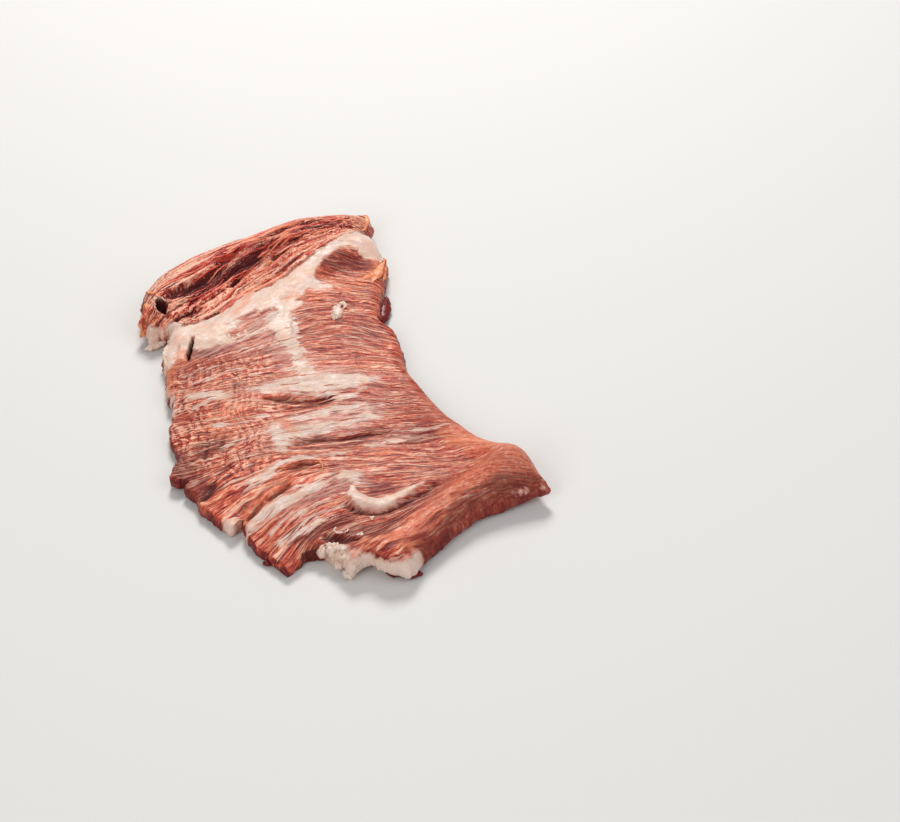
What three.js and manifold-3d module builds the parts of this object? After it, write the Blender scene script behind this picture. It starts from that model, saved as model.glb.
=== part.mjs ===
// A raw pork secreto: one thin, fan-shaped slab of shoulder muscle lying flat. A coarse-grained strip
// rolls along its far edge, a seam of fat runs below the strip, and the near right corner swells into a
// thick roll that ends in a lip of fat. Millimetres, +Z up, the underside resting on z = 0.
import * as THREE from 'three';
import { mergeVertices } from 'three/addons/utils/BufferGeometryUtils.js';
import Module from 'manifold-3d';

// Driving dimensions
const MIDDLE = [-52.46, -8.36]; // the point of the outline's drawing that becomes the origin
const SHEET = 9.2; // thickness of the plain sheet
const CELLS = { across: 50, along: 68 }; // grid lines of the upper side, both even
const WALL_ROWS = 2; // rows of faces round the rim
const WALL_BULGE = 0.07; // how far the rim swells, as a share of the thickness
const OUTLINE_REACH = 8; // how far in from the rim a notch or tooth still bends the grid
const SMOOTHING = 26; // passes that turn a ragged side into its smooth run

// Plan outline, as four sides that meet at the corners: far left, far right, near right, near left
const FAR_SIDE = [
  [-139.8, 58], [-137.6, 67], [-133, 73.5], [-124, 82], [-114, 88.3], [-104, 94.8], [-97.5, 97],
  [-92.4, 100.2], [-87, 104.8], [-80.5, 109], [-74, 112.2], [-65, 114.5], [-56, 115.3], [-50, 115],
  [-44.5, 113.6], [-39.5, 114.2],
];
const RIGHT_SIDE = [
  [-39.5, 114.2], [-37.2, 110.5], [-38.3, 104.5], [-40.8, 98.5], [-36.8, 96], [-33.8, 89.5], [-32.6, 81],
  [-30, 79.5], [-30.8, 69], [-31.8, 56], [-33, 42], [-33.2, 35], [-30.2, 31.2], [-26.6, 27], [-24.8, 20],
  [-23, 12], [-21.5, 0], [-19.2, -7], [-16, -13.5], [-10, -26], [-3, -38.2], [1.5, -43.5], [6, -49.5],
  [10, -53.8], [18, -59.5], [25, -64.5], [29, -69], [31.5, -76], [34, -82.5], [36.8, -86.5],
];
const NEAR_SIDE = [
  [-69.2, -127], [-65, -122.5], [-60, -117.8], [-53, -118], [-50, -123], [-47, -124], [-43.5, -130.5],
  [-40.5, -127.5], [-36.2, -126.3], [-32, -130], [-25, -132], [-20.5, -132], [-17, -126.5],
  [-12, -119.5], [-6, -112], [1, -104.5], [7.5, -98.5], [15, -94.6], [26, -90], [36.8, -86.5],
];
const LEFT_SIDE = [
  [-139.8, 58], [-141, 50], [-139.3, 44], [-138.8, 38.5], [-141.6, 34], [-138, 34], [-137.6, 29],
  [-135.5, 26], [-132, 29], [-127.5, 29.8], [-127.4, 23], [-128.8, 14.5], [-129, 9.5], [-127.5, 3],
  [-125.9, -5.5], [-125.3, -11.8], [-121.8, -11], [-124.8, -14.8], [-122.2, -21], [-121.6, -27],
  [-122.2, -34], [-121.5, -45], [-119, -50], [-117.7, -58], [-119, -64], [-119.5, -70], [-112, -72.5],
  [-113.3, -75], [-109.5, -80], [-106.5, -86.5], [-101.5, -93], [-95.8, -99.2], [-93, -103], [-88, -96],
  [-87.6, -100], [-86.2, -105.5], [-83, -111.5], [-77, -118], [-72.3, -124], [-69.2, -127],
];
// How square the rim is cut, at even steps along each side: 0 is a round edge, 1 a knife cut
const SQUARENESS = {
  far: [0.1, 0, 0, 0],
  right: [0.1, 0.4, 0.15, 0.1],
  near: [0.9, 0.9, 0.7, 0.2, 0, 0.1],
  left: [0.2, 0.5, 0.9, 1, 1, 0.9],
};
const ROUND_RIM = { top: 0.46, bottom: 0.12, reach: 0.85 }; // where a round edge meets its wall
const CUT_RIM = { top: 0.86, bottom: 0.03, reach: 0.3 }; // and where a cut edge does

// Swells and grooves: a line, how far each spreads to its side, and its height at both ends
const RIDGES = [
  { line: [[-134, 48], [-122, 63], [-106, 78], [-88, 90], [-68, 101], [-46, 106]], spread: 16, rise: [10.5, 8.5] },
  { line: [[-122, 20], [-107, 24], [-93, 36], [-80, 49], [-69, 63], [-59, 78], [-46, 86], [-38, 88]], spread: 8, rise: [3, 3] },
  { line: [[-24, -118], [-14, -108], [-2, -97], [10, -86], [24, -77]], spread: 12, rise: [3, 11] },
  { line: [[-24, -6], [-12, -28], [4, -50], [20, -64]], spread: 12, rise: [0.5, 5] },
  { line: [[-33, -101], [-18, -94], [-4, -83], [10, -73]], spread: 6, rise: [-2, -2.5] },
  { line: [[-42, -94], [-34, -98], [-24, -94], [-13, -84]], spread: 4.5, rise: [2.5, 1.5] },
  { line: [[-84, -101], [-72, -90], [-55, -82], [-42, -78]], spread: 5, rise: [1.6, 1] },
  { line: [[-86, -96], [-75, -84], [-62, -75]], spread: 4, rise: [-2.6, -0.8] },
  { line: [[-85, -19], [-60, -14], [-42, -16]], spread: 7, rise: [0.8, 1.2] },
  { line: [[-78, -28], [-60, -27]], spread: 5, rise: [-1.2, -1.2] },
  { line: [[-75, -42], [-55, -38], [-38, -34]], spread: 6, rise: [0.8, 0.8] },
  { line: [[-68, -57], [-45, -55], [-33, -52]], spread: 4, rise: [-1.4, -1.2] },
  { line: [[-56, 72], [-42, 72]], spread: 7, rise: [-2, -1.6] },
  { line: [[-46, -117], [-34, -121], [-24, -125]], spread: 6, rise: [1.5, 1] },
  {
    line: [[-127, 20], [-128, 0], [-123, -25], [-121, -55], [-112, -80], [-94, -104], [-71, -127]],
    spread: 15, rise: [-2, -4],
  },
];
// Places where the underside leaves the table
const LIFTS = [
  { at: [-33, -130], spread: 12, rise: 4.5 },
  { at: [36, -87], spread: 11, rise: 3 },
  { at: [-142, 36], spread: 12, rise: 4 },
  { at: [-92, -106], spread: 7, rise: 1.5 },
  { at: [-125, -12], spread: 7, rise: 1.6 },
  { at: [-119, -72], spread: 6, rise: 1.2 },
];
// Long fibre bundles of the strip, as ropes that run beside its crest
const ROPES = { pitch: 8.5, depth: 1.2, reach: 19, sway: 2.2, swayLength: 46 };
const UNDULATION = { rise: 0.5, lengthX: 23, lengthY: 17 };

// The slit in the seam's fat and the crack in the left edge, the hollow at the strip's torn end,
// and what sticks out of the rim
const SLITS = [
  { at: [-116.8, 13.4], length: 13, width: 2.8, turn: -0.04 },
  { at: [-126, -13.2], length: 11, width: 1.6, turn: -1.3 },
];
const HOLLOW = { at: [-131.3, 38.2, 18], size: [2.7, 5.6, 8], turn: 0.5 };
const TAGS = [
  { at: [-32.2, 49.5, 2], size: [3, 11, 1.8], turn: 0.03 },
  { at: [-23, -127.8, 1.8], size: [7.6, 4.6, 1.8], turn: -0.1 },
  { at: [-55.2, -117.8, 5.2], size: [2.6, 3, 2.8], turn: 0.2 },
  { at: [-77.5, -119.3, 1.2], size: [2.6, 1.5, 1.1], turn: 0.4 },
];
const LUMP_SEGMENTS = [10, 7];

const mix = (from, to, share) => from + (to - from) * share;
const clamp01 = (value) => Math.min(1, Math.max(0, value));
const bell = (distance, spread) => Math.exp(-((distance / spread) ** 2));

// A side of the outline at cells + 1 places. Each of its own points falls on a grid line.
function sampleSide(points, cells) {
  const curve = new THREE.CatmullRomCurve3(points.map(([x, y]) => new THREE.Vector3(x, y, 0)), false, 'centripetal');
  const spans = points.length - 1;
  const run = [0];
  for (let k = 1; k <= spans; k++) {
    run.push(run[k - 1] + Math.hypot(points[k][0] - points[k - 1][0], points[k][1] - points[k - 1][1]));
  }
  const stops = run.map((length) => Math.round((cells * length) / run[spans]));
  for (let k = 1; k <= spans; k++) stops[k] = Math.max(stops[k], stops[k - 1] + 1);
  stops[spans] = cells;
  for (let k = spans - 1; k > 0; k--) stops[k] = Math.min(stops[k], stops[k + 1] - 1);
  const side = [];
  for (let k = 0; k < spans; k++) {
    for (let step = stops[k]; step < stops[k + 1]; step++) {
      side.push(curve.getPoint((k + (step - stops[k]) / (stops[k + 1] - stops[k])) / spans));
    }
  }
  side.push(curve.getPoint(1));
  return side;
}

// The same side without its notches and teeth, its ends held
function smoothSide(side) {
  let smooth = side.map((point) => point.clone());
  for (let pass = 0; pass < SMOOTHING; pass++) {
    smooth = smooth.map((point, k) => (k === 0 || k === smooth.length - 1
      ? point
      : point.clone().multiplyScalar(2).add(smooth[k - 1]).add(smooth[k + 1]).multiplyScalar(0.25)));
  }
  return smooth;
}

// The plan grid: a Coons patch of the smooth sides, bent near each side by that side's own detail
function planGrid() {
  const { across, along } = CELLS;
  const ragged = {
    far: sampleSide(FAR_SIDE, across), near: sampleSide(NEAR_SIDE, across),
    left: sampleSide(LEFT_SIDE, along), right: sampleSide(RIGHT_SIDE, along),
  };
  const smooth = Object.fromEntries(Object.entries(ragged).map(([name, side]) => [name, smoothSide(side)]));
  const detail = (name, k) => ragged[name][k].clone().sub(smooth[name][k]);
  const corners = [ragged.far[0], ragged.far[across], ragged.near[0], ragged.near[across]];
  const grid = [];
  for (let j = 0; j <= along; j++) {
    const v = j / along;
    const row = [];
    for (let i = 0; i <= across; i++) {
      const u = i / across;
      const point = new THREE.Vector3()
        .addScaledVector(smooth.far[i], 1 - v).addScaledVector(smooth.near[i], v)
        .addScaledVector(smooth.left[j], 1 - u).addScaledVector(smooth.right[j], u)
        .addScaledVector(corners[0], -(1 - u) * (1 - v)).addScaledVector(corners[1], -u * (1 - v))
        .addScaledVector(corners[2], -(1 - u) * v).addScaledVector(corners[3], -u * v);
      const height = smooth.far[i].distanceTo(smooth.near[i]);
      const width = smooth.left[j].distanceTo(smooth.right[j]);
      point.addScaledVector(detail('far', i), Math.exp((-v * height) / OUTLINE_REACH));
      point.addScaledVector(detail('near', i), Math.exp((-(1 - v) * height) / OUTLINE_REACH));
      point.addScaledVector(detail('left', j), Math.exp((-u * width) / OUTLINE_REACH));
      point.addScaledVector(detail('right', j), Math.exp((-(1 - u) * width) / OUTLINE_REACH));
      row.push(point);
    }
    grid.push(row);
  }
  return grid;
}

// A value at share 0 to 1 of a list of evenly spaced values
function valueAlong(values, share) {
  const place = clamp01(share) * (values.length - 1);
  const k = Math.min(values.length - 2, Math.floor(place));
  return mix(values[k], values[k + 1], place - k);
}

// The rim's grid places, anticlockwise from the far left corner, each with its squareness
function rimPlaces() {
  const { across, along } = CELLS;
  const places = [];
  for (let j = 0; j < along; j++) places.push({ i: 0, j, square: valueAlong(SQUARENESS.left, j / along) });
  for (let i = 0; i < across; i++) places.push({ i, j: along, square: valueAlong(SQUARENESS.near, i / across) });
  for (let j = along; j > 0; j--) places.push({ i: across, j, square: valueAlong(SQUARENESS.right, j / along) });
  for (let i = across; i > 0; i--) places.push({ i, j: 0, square: valueAlong(SQUARENESS.far, i / across) });
  return places;
}

// Distance from a point to a segment, with the share of the segment and the side it lies on
function toSegment(x, y, [ax, ay], [bx, by]) {
  const dx = bx - ax;
  const dy = by - ay;
  const share = clamp01(((x - ax) * dx + (y - ay) * dy) / (dx * dx + dy * dy));
  const distance = Math.hypot(x - ax - share * dx, y - ay - share * dy);
  return { distance, share, side: Math.sign(dx * (y - ay) - dy * (x - ax)), length: Math.hypot(dx, dy) };
}

// The nearest place on a line of points, with how far along the line it is
function toLine(x, y, line) {
  let best = { distance: Infinity };
  let run = 0;
  for (let k = 0; k + 1 < line.length; k++) {
    const found = toSegment(x, y, line[k], line[k + 1]);
    if (found.distance < best.distance) best = { ...found, run: run + found.share * found.length };
    run += found.length;
  }
  return { ...best, share: best.run / run };
}

function thicknessAt(x, y) {
  let thickness = SHEET;
  for (const { line, spread, rise } of RIDGES) {
    const { distance, share } = toLine(x, y, line);
    thickness += mix(rise[0], rise[1], share) * bell(distance, spread);
  }
  return thickness;
}

function liftAt(x, y) {
  return LIFTS.reduce((sum, { at, spread, rise }) => sum + rise * bell(Math.hypot(x - at[0], y - at[1]), spread), 0);
}

// Ropes of the strip and the sheet's gentle swell
function reliefAt(x, y) {
  const { distance, side, run } = toLine(x, y, RIDGES[0].line);
  const across = side * distance + ROPES.sway * Math.sin((2 * Math.PI * run) / ROPES.swayLength);
  const ropes = ROPES.depth * Math.cos((2 * Math.PI * across) / ROPES.pitch) * clamp01(2 - (2 * distance) / ROPES.reach);
  const swell = UNDULATION.rise * Math.sin(x / UNDULATION.lengthX + 1) * Math.cos(y / UNDULATION.lengthY);
  return ropes + swell;
}

// Both sides' heights at every grid place: round or cut off near the rim, plain further in
function heights(grid, rim) {
  const ring = rim.map(({ i, j }) => [grid[j][i].x, grid[j][i].y]);
  return grid.map((row) => row.map(({ x, y }) => {
    let best = Infinity;
    let square = 0;
    ring.forEach((point, k) => {
      const next = (k + 1) % ring.length;
      const { distance, share } = toSegment(x, y, point, ring[next]);
      if (distance < best) {
        best = distance;
        square = mix(rim[k].square, rim[next].square, share);
      }
    });
    const thickness = thicknessAt(x, y);
    const top = mix(ROUND_RIM.top, CUT_RIM.top, square);
    const bottom = mix(ROUND_RIM.bottom, CUT_RIM.bottom, square);
    const reach = thickness * mix(ROUND_RIM.reach, CUT_RIM.reach, square);
    const arc = Math.sqrt(1 - (1 - clamp01(best / reach)) ** 2);
    const lift = liftAt(x, y);
    return {
      top: lift + thickness * mix(top, 1, arc) + reliefAt(x, y) * arc,
      bottom: lift + thickness * bottom * (1 - arc),
      thickness,
    };
  }));
}

// The slab as one closed skin: fine upper side, rim, and an underside on every second grid line
function slab() {
  const { across, along } = CELLS;
  const grid = planGrid();
  const rim = rimPlaces();
  const height = heights(grid, rim);
  const place = (i, j, z) => new THREE.Vector3(grid[j][i].x - MIDDLE[0], grid[j][i].y - MIDDLE[1], z);
  const upper = (i, j) => place(i, j, height[j][i].top);
  const under = (i, j) => place(i, j, height[j][i].bottom);
  const corners = [];
  const triangle = (a, b, c) => corners.push(a, b, c);

  for (let j = 0; j < along; j++) {
    for (let i = 0; i < across; i++) {
      triangle(upper(i, j), upper(i, j + 1), upper(i + 1, j + 1));
      triangle(upper(i, j), upper(i + 1, j + 1), upper(i + 1, j));
    }
  }

  const wall = rim.map(({ i, j }, k) => {
    const before = rim[(k + rim.length - 1) % rim.length];
    const after = rim[(k + 1) % rim.length];
    const step = grid[after.j][after.i].clone().sub(grid[before.j][before.i]).normalize();
    const column = [];
    for (let row = 0; row <= WALL_ROWS; row++) {
      const share = row / WALL_ROWS;
      const bulge = WALL_BULGE * height[j][i].thickness * Math.sin(Math.PI * share);
      const point = place(i, j, mix(height[j][i].top, height[j][i].bottom, share));
      if (row > 0 && row < WALL_ROWS) point.add(new THREE.Vector3(step.y, -step.x, 0).multiplyScalar(bulge));
      column.push(point);
    }
    return column;
  });
  wall.forEach((column, k) => {
    const next = wall[(k + 1) % wall.length];
    for (let row = 0; row < WALL_ROWS; row++) {
      triangle(column[row], column[row + 1], next[row + 1]);
      triangle(column[row], next[row + 1], next[row]);
    }
  });

  for (let j = 0; j < along; j += 2) {
    for (let i = 0; i < across; i += 2) {
      const ring = [[i, j]];
      if (i === 0) ring.push([0, j + 1]);
      ring.push([i, j + 2]);
      if (j + 2 === along) ring.push([i + 1, along]);
      ring.push([i + 2, j + 2]);
      if (i + 2 === across) ring.push([across, j + 1]);
      ring.push([i + 2, j]);
      if (j === 0) ring.push([i + 1, 0]);
      const hubI = i + 2 === across ? i : i + 2;
      const hubJ = j + 2 === along ? j : j + 2;
      const hub = ring.findIndex(([a, b]) => a === hubI && b === hubJ);
      const fan = [...ring.slice(hub), ...ring.slice(0, hub)];
      for (let k = 1; k + 1 < fan.length; k++) triangle(under(...fan[0]), under(...fan[k + 1]), under(...fan[k]));
    }
  }
  return new THREE.BufferGeometry().setFromPoints(corners);
}

// An ellipsoid, turned about the vertical
function lump({ at, size, turn }) {
  const geometry = new THREE.SphereGeometry(1, ...LUMP_SEGMENTS);
  geometry.scale(...size).rotateZ(turn).translate(at[0] - MIDDLE[0], at[1] - MIDDLE[1], at[2]);
  return geometry;
}

// A lens-shaped blade that passes right through the sheet
function slitBlade({ at, length, width, turn }) {
  const lens = new THREE.Shape();
  lens.moveTo(0, -length / 2);
  lens.quadraticCurveTo(width, 0, 0, length / 2);
  lens.quadraticCurveTo(-width, 0, 0, -length / 2);
  const geometry = new THREE.ExtrudeGeometry(lens, { depth: 60, bevelEnabled: false, curveSegments: 5 });
  return geometry.rotateZ(turn).translate(at[0] - MIDDLE[0], at[1] - MIDDLE[1], -20);
}

const wasm = await Module();
wasm.setup();

function toSolid(geometry) {
  const bare = geometry.clone();
  bare.deleteAttribute('normal');
  bare.deleteAttribute('uv');
  const merged = mergeVertices(bare, 1e-4);
  return new wasm.Manifold(new wasm.Mesh({
    numProp: 3,
    vertProperties: new Float32Array(merged.attributes.position.array),
    triVerts: new Uint32Array(merged.index.array),
  }));
}

function toGeometry(solid) {
  const mesh = solid.getMesh();
  const geometry = new THREE.BufferGeometry();
  geometry.setAttribute('position', new THREE.BufferAttribute(new Float32Array(mesh.vertProperties), 3));
  geometry.setIndex(new THREE.BufferAttribute(new Uint32Array(mesh.triVerts), 1));
  geometry.computeVertexNormals();
  return geometry;
}

let meat = toSolid(slab());
for (const tag of TAGS) meat = meat.add(toSolid(lump(tag)));
for (const slit of SLITS) meat = meat.subtract(toSolid(slitBlade(slit)));
meat = meat.subtract(toSolid(lump(HOLLOW)));

const rawPork = new THREE.MeshStandardMaterial({ color: 0xb65c4d, roughness: 0.42, metalness: 0 });
const secreto = new THREE.Mesh(toGeometry(meat), rawPork);
secreto.name = 'secreto';

const model = new THREE.Group();
model.add(secreto);
export default model;
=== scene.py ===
"""A raw pork secreto lying flat: one slab of marbled meat with a coarse rolled strip along its far edge.

The slab is drawn in plan in millimetres, with +X to the right and +Y away from the camera, and is
moved so that MIDDLE becomes the origin. Shapes are in millimetres until a mesh is made in metres.
"""

import bpy
import numpy as np
from mathutils import Matrix, Vector


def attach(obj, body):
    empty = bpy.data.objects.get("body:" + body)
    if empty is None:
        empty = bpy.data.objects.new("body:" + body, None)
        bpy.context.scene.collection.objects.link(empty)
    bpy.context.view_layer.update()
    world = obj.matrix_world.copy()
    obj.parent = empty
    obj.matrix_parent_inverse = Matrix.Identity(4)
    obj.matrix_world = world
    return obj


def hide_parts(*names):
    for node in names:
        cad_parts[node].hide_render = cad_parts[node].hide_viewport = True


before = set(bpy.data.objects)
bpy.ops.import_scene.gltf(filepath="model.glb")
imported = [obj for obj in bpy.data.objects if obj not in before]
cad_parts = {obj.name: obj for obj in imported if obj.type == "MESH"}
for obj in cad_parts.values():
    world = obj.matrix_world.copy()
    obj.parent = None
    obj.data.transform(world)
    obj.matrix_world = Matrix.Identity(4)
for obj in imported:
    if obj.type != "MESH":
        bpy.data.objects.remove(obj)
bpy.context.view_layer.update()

# Driving dimensions, the same as the solid's
MIDDLE = np.array((-52.46, -8.36))
SHEET = 9.2
OUTLINE_REACH = 8.0
SIDE_SOFTNESS = 13.0
FAR_SIDE = (
    (-139.8, 58), (-137.6, 67), (-133, 73.5), (-124, 82), (-114, 88.3), (-104, 94.8), (-97.5, 97),
    (-92.4, 100.2), (-87, 104.8), (-80.5, 109), (-74, 112.2), (-65, 114.5), (-56, 115.3), (-50, 115),
    (-44.5, 113.6), (-39.5, 114.2),
)
RIGHT_SIDE = (
    (-39.5, 114.2), (-37.2, 110.5), (-38.3, 104.5), (-40.8, 98.5), (-36.8, 96), (-33.8, 89.5),
    (-32.6, 81), (-30, 79.5), (-30.8, 69), (-31.8, 56), (-33, 42), (-33.2, 35), (-30.2, 31.2),
    (-26.6, 27), (-24.8, 20), (-23, 12), (-21.5, 0), (-19.2, -7), (-16, -13.5), (-10, -26), (-3, -38.2),
    (1.5, -43.5), (6, -49.5), (10, -53.8), (18, -59.5), (25, -64.5), (29, -69), (31.5, -76),
    (34, -82.5), (36.8, -86.5),
)
NEAR_SIDE = (
    (-69.2, -127), (-65, -122.5), (-60, -117.8), (-53, -118), (-50, -123), (-47, -124),
    (-43.5, -130.5), (-40.5, -127.5), (-36.2, -126.3), (-32, -130), (-25, -132), (-20.5, -132),
    (-17, -126.5), (-12, -119.5), (-6, -112), (1, -104.5), (7.5, -98.5), (15, -94.6), (26, -90),
    (36.8, -86.5),
)
LEFT_SIDE = (
    (-139.8, 58), (-141, 50), (-139.3, 44), (-138.8, 38.5), (-141.6, 34), (-138, 34), (-137.6, 29),
    (-135.5, 26), (-132, 29), (-127.5, 29.8), (-127.4, 23), (-128.8, 14.5), (-129, 9.5), (-127.5, 3),
    (-125.9, -5.5), (-125.3, -11.8), (-121.8, -11), (-124.8, -14.8), (-122.2, -21), (-121.6, -27),
    (-122.2, -34), (-121.5, -45), (-119, -50), (-117.7, -58), (-119, -64), (-119.5, -70),
    (-112, -72.5), (-113.3, -75), (-109.5, -80), (-106.5, -86.5), (-101.5, -93), (-95.8, -99.2),
    (-93, -103), (-88, -96), (-87.6, -100), (-86.2, -105.5), (-83, -111.5), (-77, -118),
    (-72.3, -124), (-69.2, -127),
)
SQUARENESS = {
    "far": (0.1, 0, 0, 0),
    "right": (0.1, 0.4, 0.15, 0.1),
    "near": (0.9, 0.9, 0.7, 0.2, 0, 0.1),
    "left": (0.2, 0.5, 0.9, 1, 1, 0.9),
}
ROUND_RIM = {"top": 0.46, "bottom": 0.12, "reach": 0.85}
CUT_RIM = {"top": 0.86, "bottom": 0.03, "reach": 0.3}

# Swells and grooves of the sheet: line, spread, height at its two ends
RIDGES = (
    (((-134, 48), (-122, 63), (-106, 78), (-88, 90), (-68, 101), (-46, 106)), 16, (10.5, 8.5)),
    (((-122, 20), (-107, 24), (-93, 36), (-80, 49), (-69, 63), (-59, 78), (-46, 86), (-38, 88)), 8, (3, 3)),
    (((-24, -118), (-14, -108), (-2, -97), (10, -86), (24, -77)), 12, (3, 11)),
    (((-24, -6), (-12, -28), (4, -50), (20, -64)), 12, (0.5, 5)),
    (((-33, -101), (-18, -94), (-4, -83), (10, -73)), 6, (-2, -2.5)),
    (((-42, -94), (-34, -98), (-24, -94), (-13, -84)), 4.5, (2.5, 1.5)),
    (((-84, -101), (-72, -90), (-55, -82), (-42, -78)), 5, (1.6, 1)),
    (((-86, -96), (-75, -84), (-62, -75)), 4, (-2.6, -0.8)),
    (((-85, -19), (-60, -14), (-42, -16)), 7, (0.8, 1.2)),
    (((-78, -28), (-60, -27)), 5, (-1.2, -1.2)),
    (((-75, -42), (-55, -38), (-38, -34)), 6, (0.8, 0.8)),
    (((-68, -57), (-45, -55), (-33, -52)), 4, (-1.4, -1.2)),
    (((-56, 72), (-42, 72)), 7, (-2, -1.6)),
    (((-46, -117), (-34, -121), (-24, -125)), 6, (1.5, 1)),
    ((
        (-127, 20), (-128, 0), (-123, -25), (-121, -55), (-112, -80), (-94, -104), (-71, -127),
    ), 15, (-2, -4)),
)
LIFTS = (
    ((-33, -130), 12, 4.5),
    ((36, -87), 11, 3),
    ((-142, 36), 12, 4),
    ((-92, -106), 7, 1.5),
    ((-125, -12), 7, 1.6),
    ((-119, -72), 6, 1.2),
)
UNDULATION = {"rise": 0.5, "length_x": 23.0, "length_y": 17.0}

# How finely the skin is divided. The underside keeps every fourth grid line
ACROSS, ALONG = 176, 456
COARSE = 4
WALL_ROWS = 6
WALL_BULGE = 0.07

# Lines that the muscle fibres follow, each with its distance from the sheet's middle fibre
BODY_FIBRES = (
    (64, ((-62, 68), (-50, 66), (-40, 62), (-32, 60))),
    (54, ((-62, 56), (-50, 55), (-40, 53), (-32, 51))),
    (40, ((-66, 40), (-55, 42), (-45, 40), (-33, 38))),
    (25, ((-120, -2), (-108, 4), (-95, 10), (-80, 18), (-66, 24), (-55, 27), (-45, 25.5), (-30, 19))),
    (9, ((-122, -8), (-110, -4), (-95, 2), (-80, 6), (-65, 9), (-50, 9), (-28, 6))),
    (-1, ((-122, -14), (-105, -12), (-90, -8), (-75, -5), (-60, -1), (-45, -1), (-26, -4))),
    (-14, ((-120, -24), (-100, -22), (-85, -18), (-70, -16), (-55, -14), (-40, -15), (-20, -18))),
    (-26, ((-120, -38), (-100, -37), (-85, -34), (-70, -30), (-55, -27), (-40, -26), (-15, -30))),
    (-38, ((-118, -52), (-100, -50), (-85, -46), (-70, -43), (-55, -40), (-40, -37), (-8, -40))),
    (-52, ((-116, -68), (-100, -64), (-85, -57), (-70, -55), (-50, -53), (-30, -50), (2, -50))),
    (-59, ((-112, -76), (-100, -71), (-88, -64), (-72, -60), (-50, -59), (-30, -58), (10, -60))),
    (-65, ((-106, -86), (-95, -79), (-84, -74), (-72, -66), (-55, -64), (-40, -65), (18, -66))),
    (-72, ((-97, -98), (-88, -90), (-78, -82), (-68, -76), (-55, -71), (-40, -71), (0, -70), (22, -70))),
    (-79, ((-87, -108), (-78, -99), (-70, -91), (-60, -85), (-48, -78), (-35, -77), (0, -75), (25, -74))),
    (-88, ((-80, -115), (-72, -105), (-64, -97), (-55, -91), (-45, -87), (-30, -85), (5, -78), (28, -78))),
    (-101, (
        (-70, -125), (-62, -114), (-55, -106), (-45, -101), (-35, -98), (-22, -94), (8, -82), (29, -82),
    )),
    (-110, (
        (-58, -118), (-48, -111), (-38, -107), (-25, -103), (-12, -97), (0, -91), (13, -86), (31, -85),
    )),
    (-119, ((-45, -126), (-35, -120), (-25, -113), (-15, -106), (-3, -98), (8, -92), (22, -88), (34, -87))),
    (-128, ((-25, -131), (-15, -122), (-5, -111), (4, -102), (14, -95), (26, -90), (36, -88))),
)
STRIP_FIBRES = (
    (24, ((-139, 50), (-132, 60), (-122, 70), (-110, 80), (-98, 88), (-85, 97), (-72, 105), (-42, 109))),
    (16, ((-136, 44), (-128, 54), (-119, 62), (-110, 71), (-101, 79), (-84, 90), (-66, 102), (-41, 105))),
    (10, ((-130, 40), (-117, 53), (-110, 60), (-105, 68), (-91, 81), (-76, 93), (-67, 98), (-41, 103))),
    (3, ((-124, 38), (-117, 45), (-104, 61), (-97, 69), (-84, 81), (-70, 92), (-60, 96), (-41, 101))),
    (-5, ((-118, 33), (-110, 40), (-103, 48), (-97, 57), (-82, 74), (-75, 82), (-57, 92), (-42, 98))),
    (-11, ((-110, 33), (-103, 40), (-97, 50), (-88, 57), (-80, 63), (-66, 79), (-58, 86), (-45, 93))),
)
STRIP_BORDER = (
    (-142, 22), (-128, 29), (-120, 31), (-114, 34), (-109, 32), (-104, 36), (-98, 47), (-90, 54),
    (-81, 60), (-76, 66), (-71, 73), (-66, 78), (-59, 84), (-50, 88.5), (-44, 93), (-41, 99), (-28, 104),
)

# Fat, as brush strokes: each point gives its place and the stroke's half width there. Sheets of fat have
# smooth borders; streaks of fat run out along the fibres
FAT_SHEETS = {
    "tail": ((-125, 29, 4), (-125.5, 20, 4.6), (-125.5, 12, 4.2), (-126, 5, 2.6)),
    "tail_inner": ((-120.5, 22, 4), (-120, 15, 2.4), (-120.4, 9, 2)),
    "seam": (
        (-122, 25, 5), (-114, 27, 5.5), (-106, 31, 6), (-99, 38, 6.5), (-92, 45, 8), (-85, 48, 8.5),
        (-78, 51, 9), (-72, 59, 7.5), (-68, 67, 5), (-65, 73, 3.6), (-61, 79.5, 3), (-55, 85, 3),
        (-49, 88.5, 4), (-42, 90, 7.5), (-36, 87, 9),
    ),
    "beside_slit": ((-113, 17.6, 4.6), (-105, 20, 5.4), (-96, 26, 5.4)),
    "column_top": ((-82, 41, 8), (-78, 31, 6.6), (-75.4, 25, 4)),
    "seam_end": ((-38, 98, 3.6), (-36, 90, 4)),
    "finger_high": ((-76, 58, 5), (-66, 59.4, 5), (-60, 58.4, 3), (-55.5, 57.2, 1.2)),
    "finger_low": ((-82, 44, 5), (-74, 43.5, 4.2), (-68, 45, 1.4), (-64, 45.5, 0.2)),
    "hook": (
        (-43.5, -85, 1.4), (-43, -90, 3.2), (-38.5, -95, 3.8), (-32, -95.4, 3.4), (-25, -92, 2.6),
        (-18, -87, 1.4), (-13, -82.5, -0.4), (-9, -78.5, -2.4),
    ),
    "tooth": ((-95, -102, 3.6), (-91.5, -100, 3.4)),
    "tongue": ((-139, 27, 2), (-134, 27, 2.4), (-129, 29, 1.6)),
    "edge_tag": ((-126, -12.5, 1.4), (-124.8, -14.8, 1.4)),
}
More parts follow.
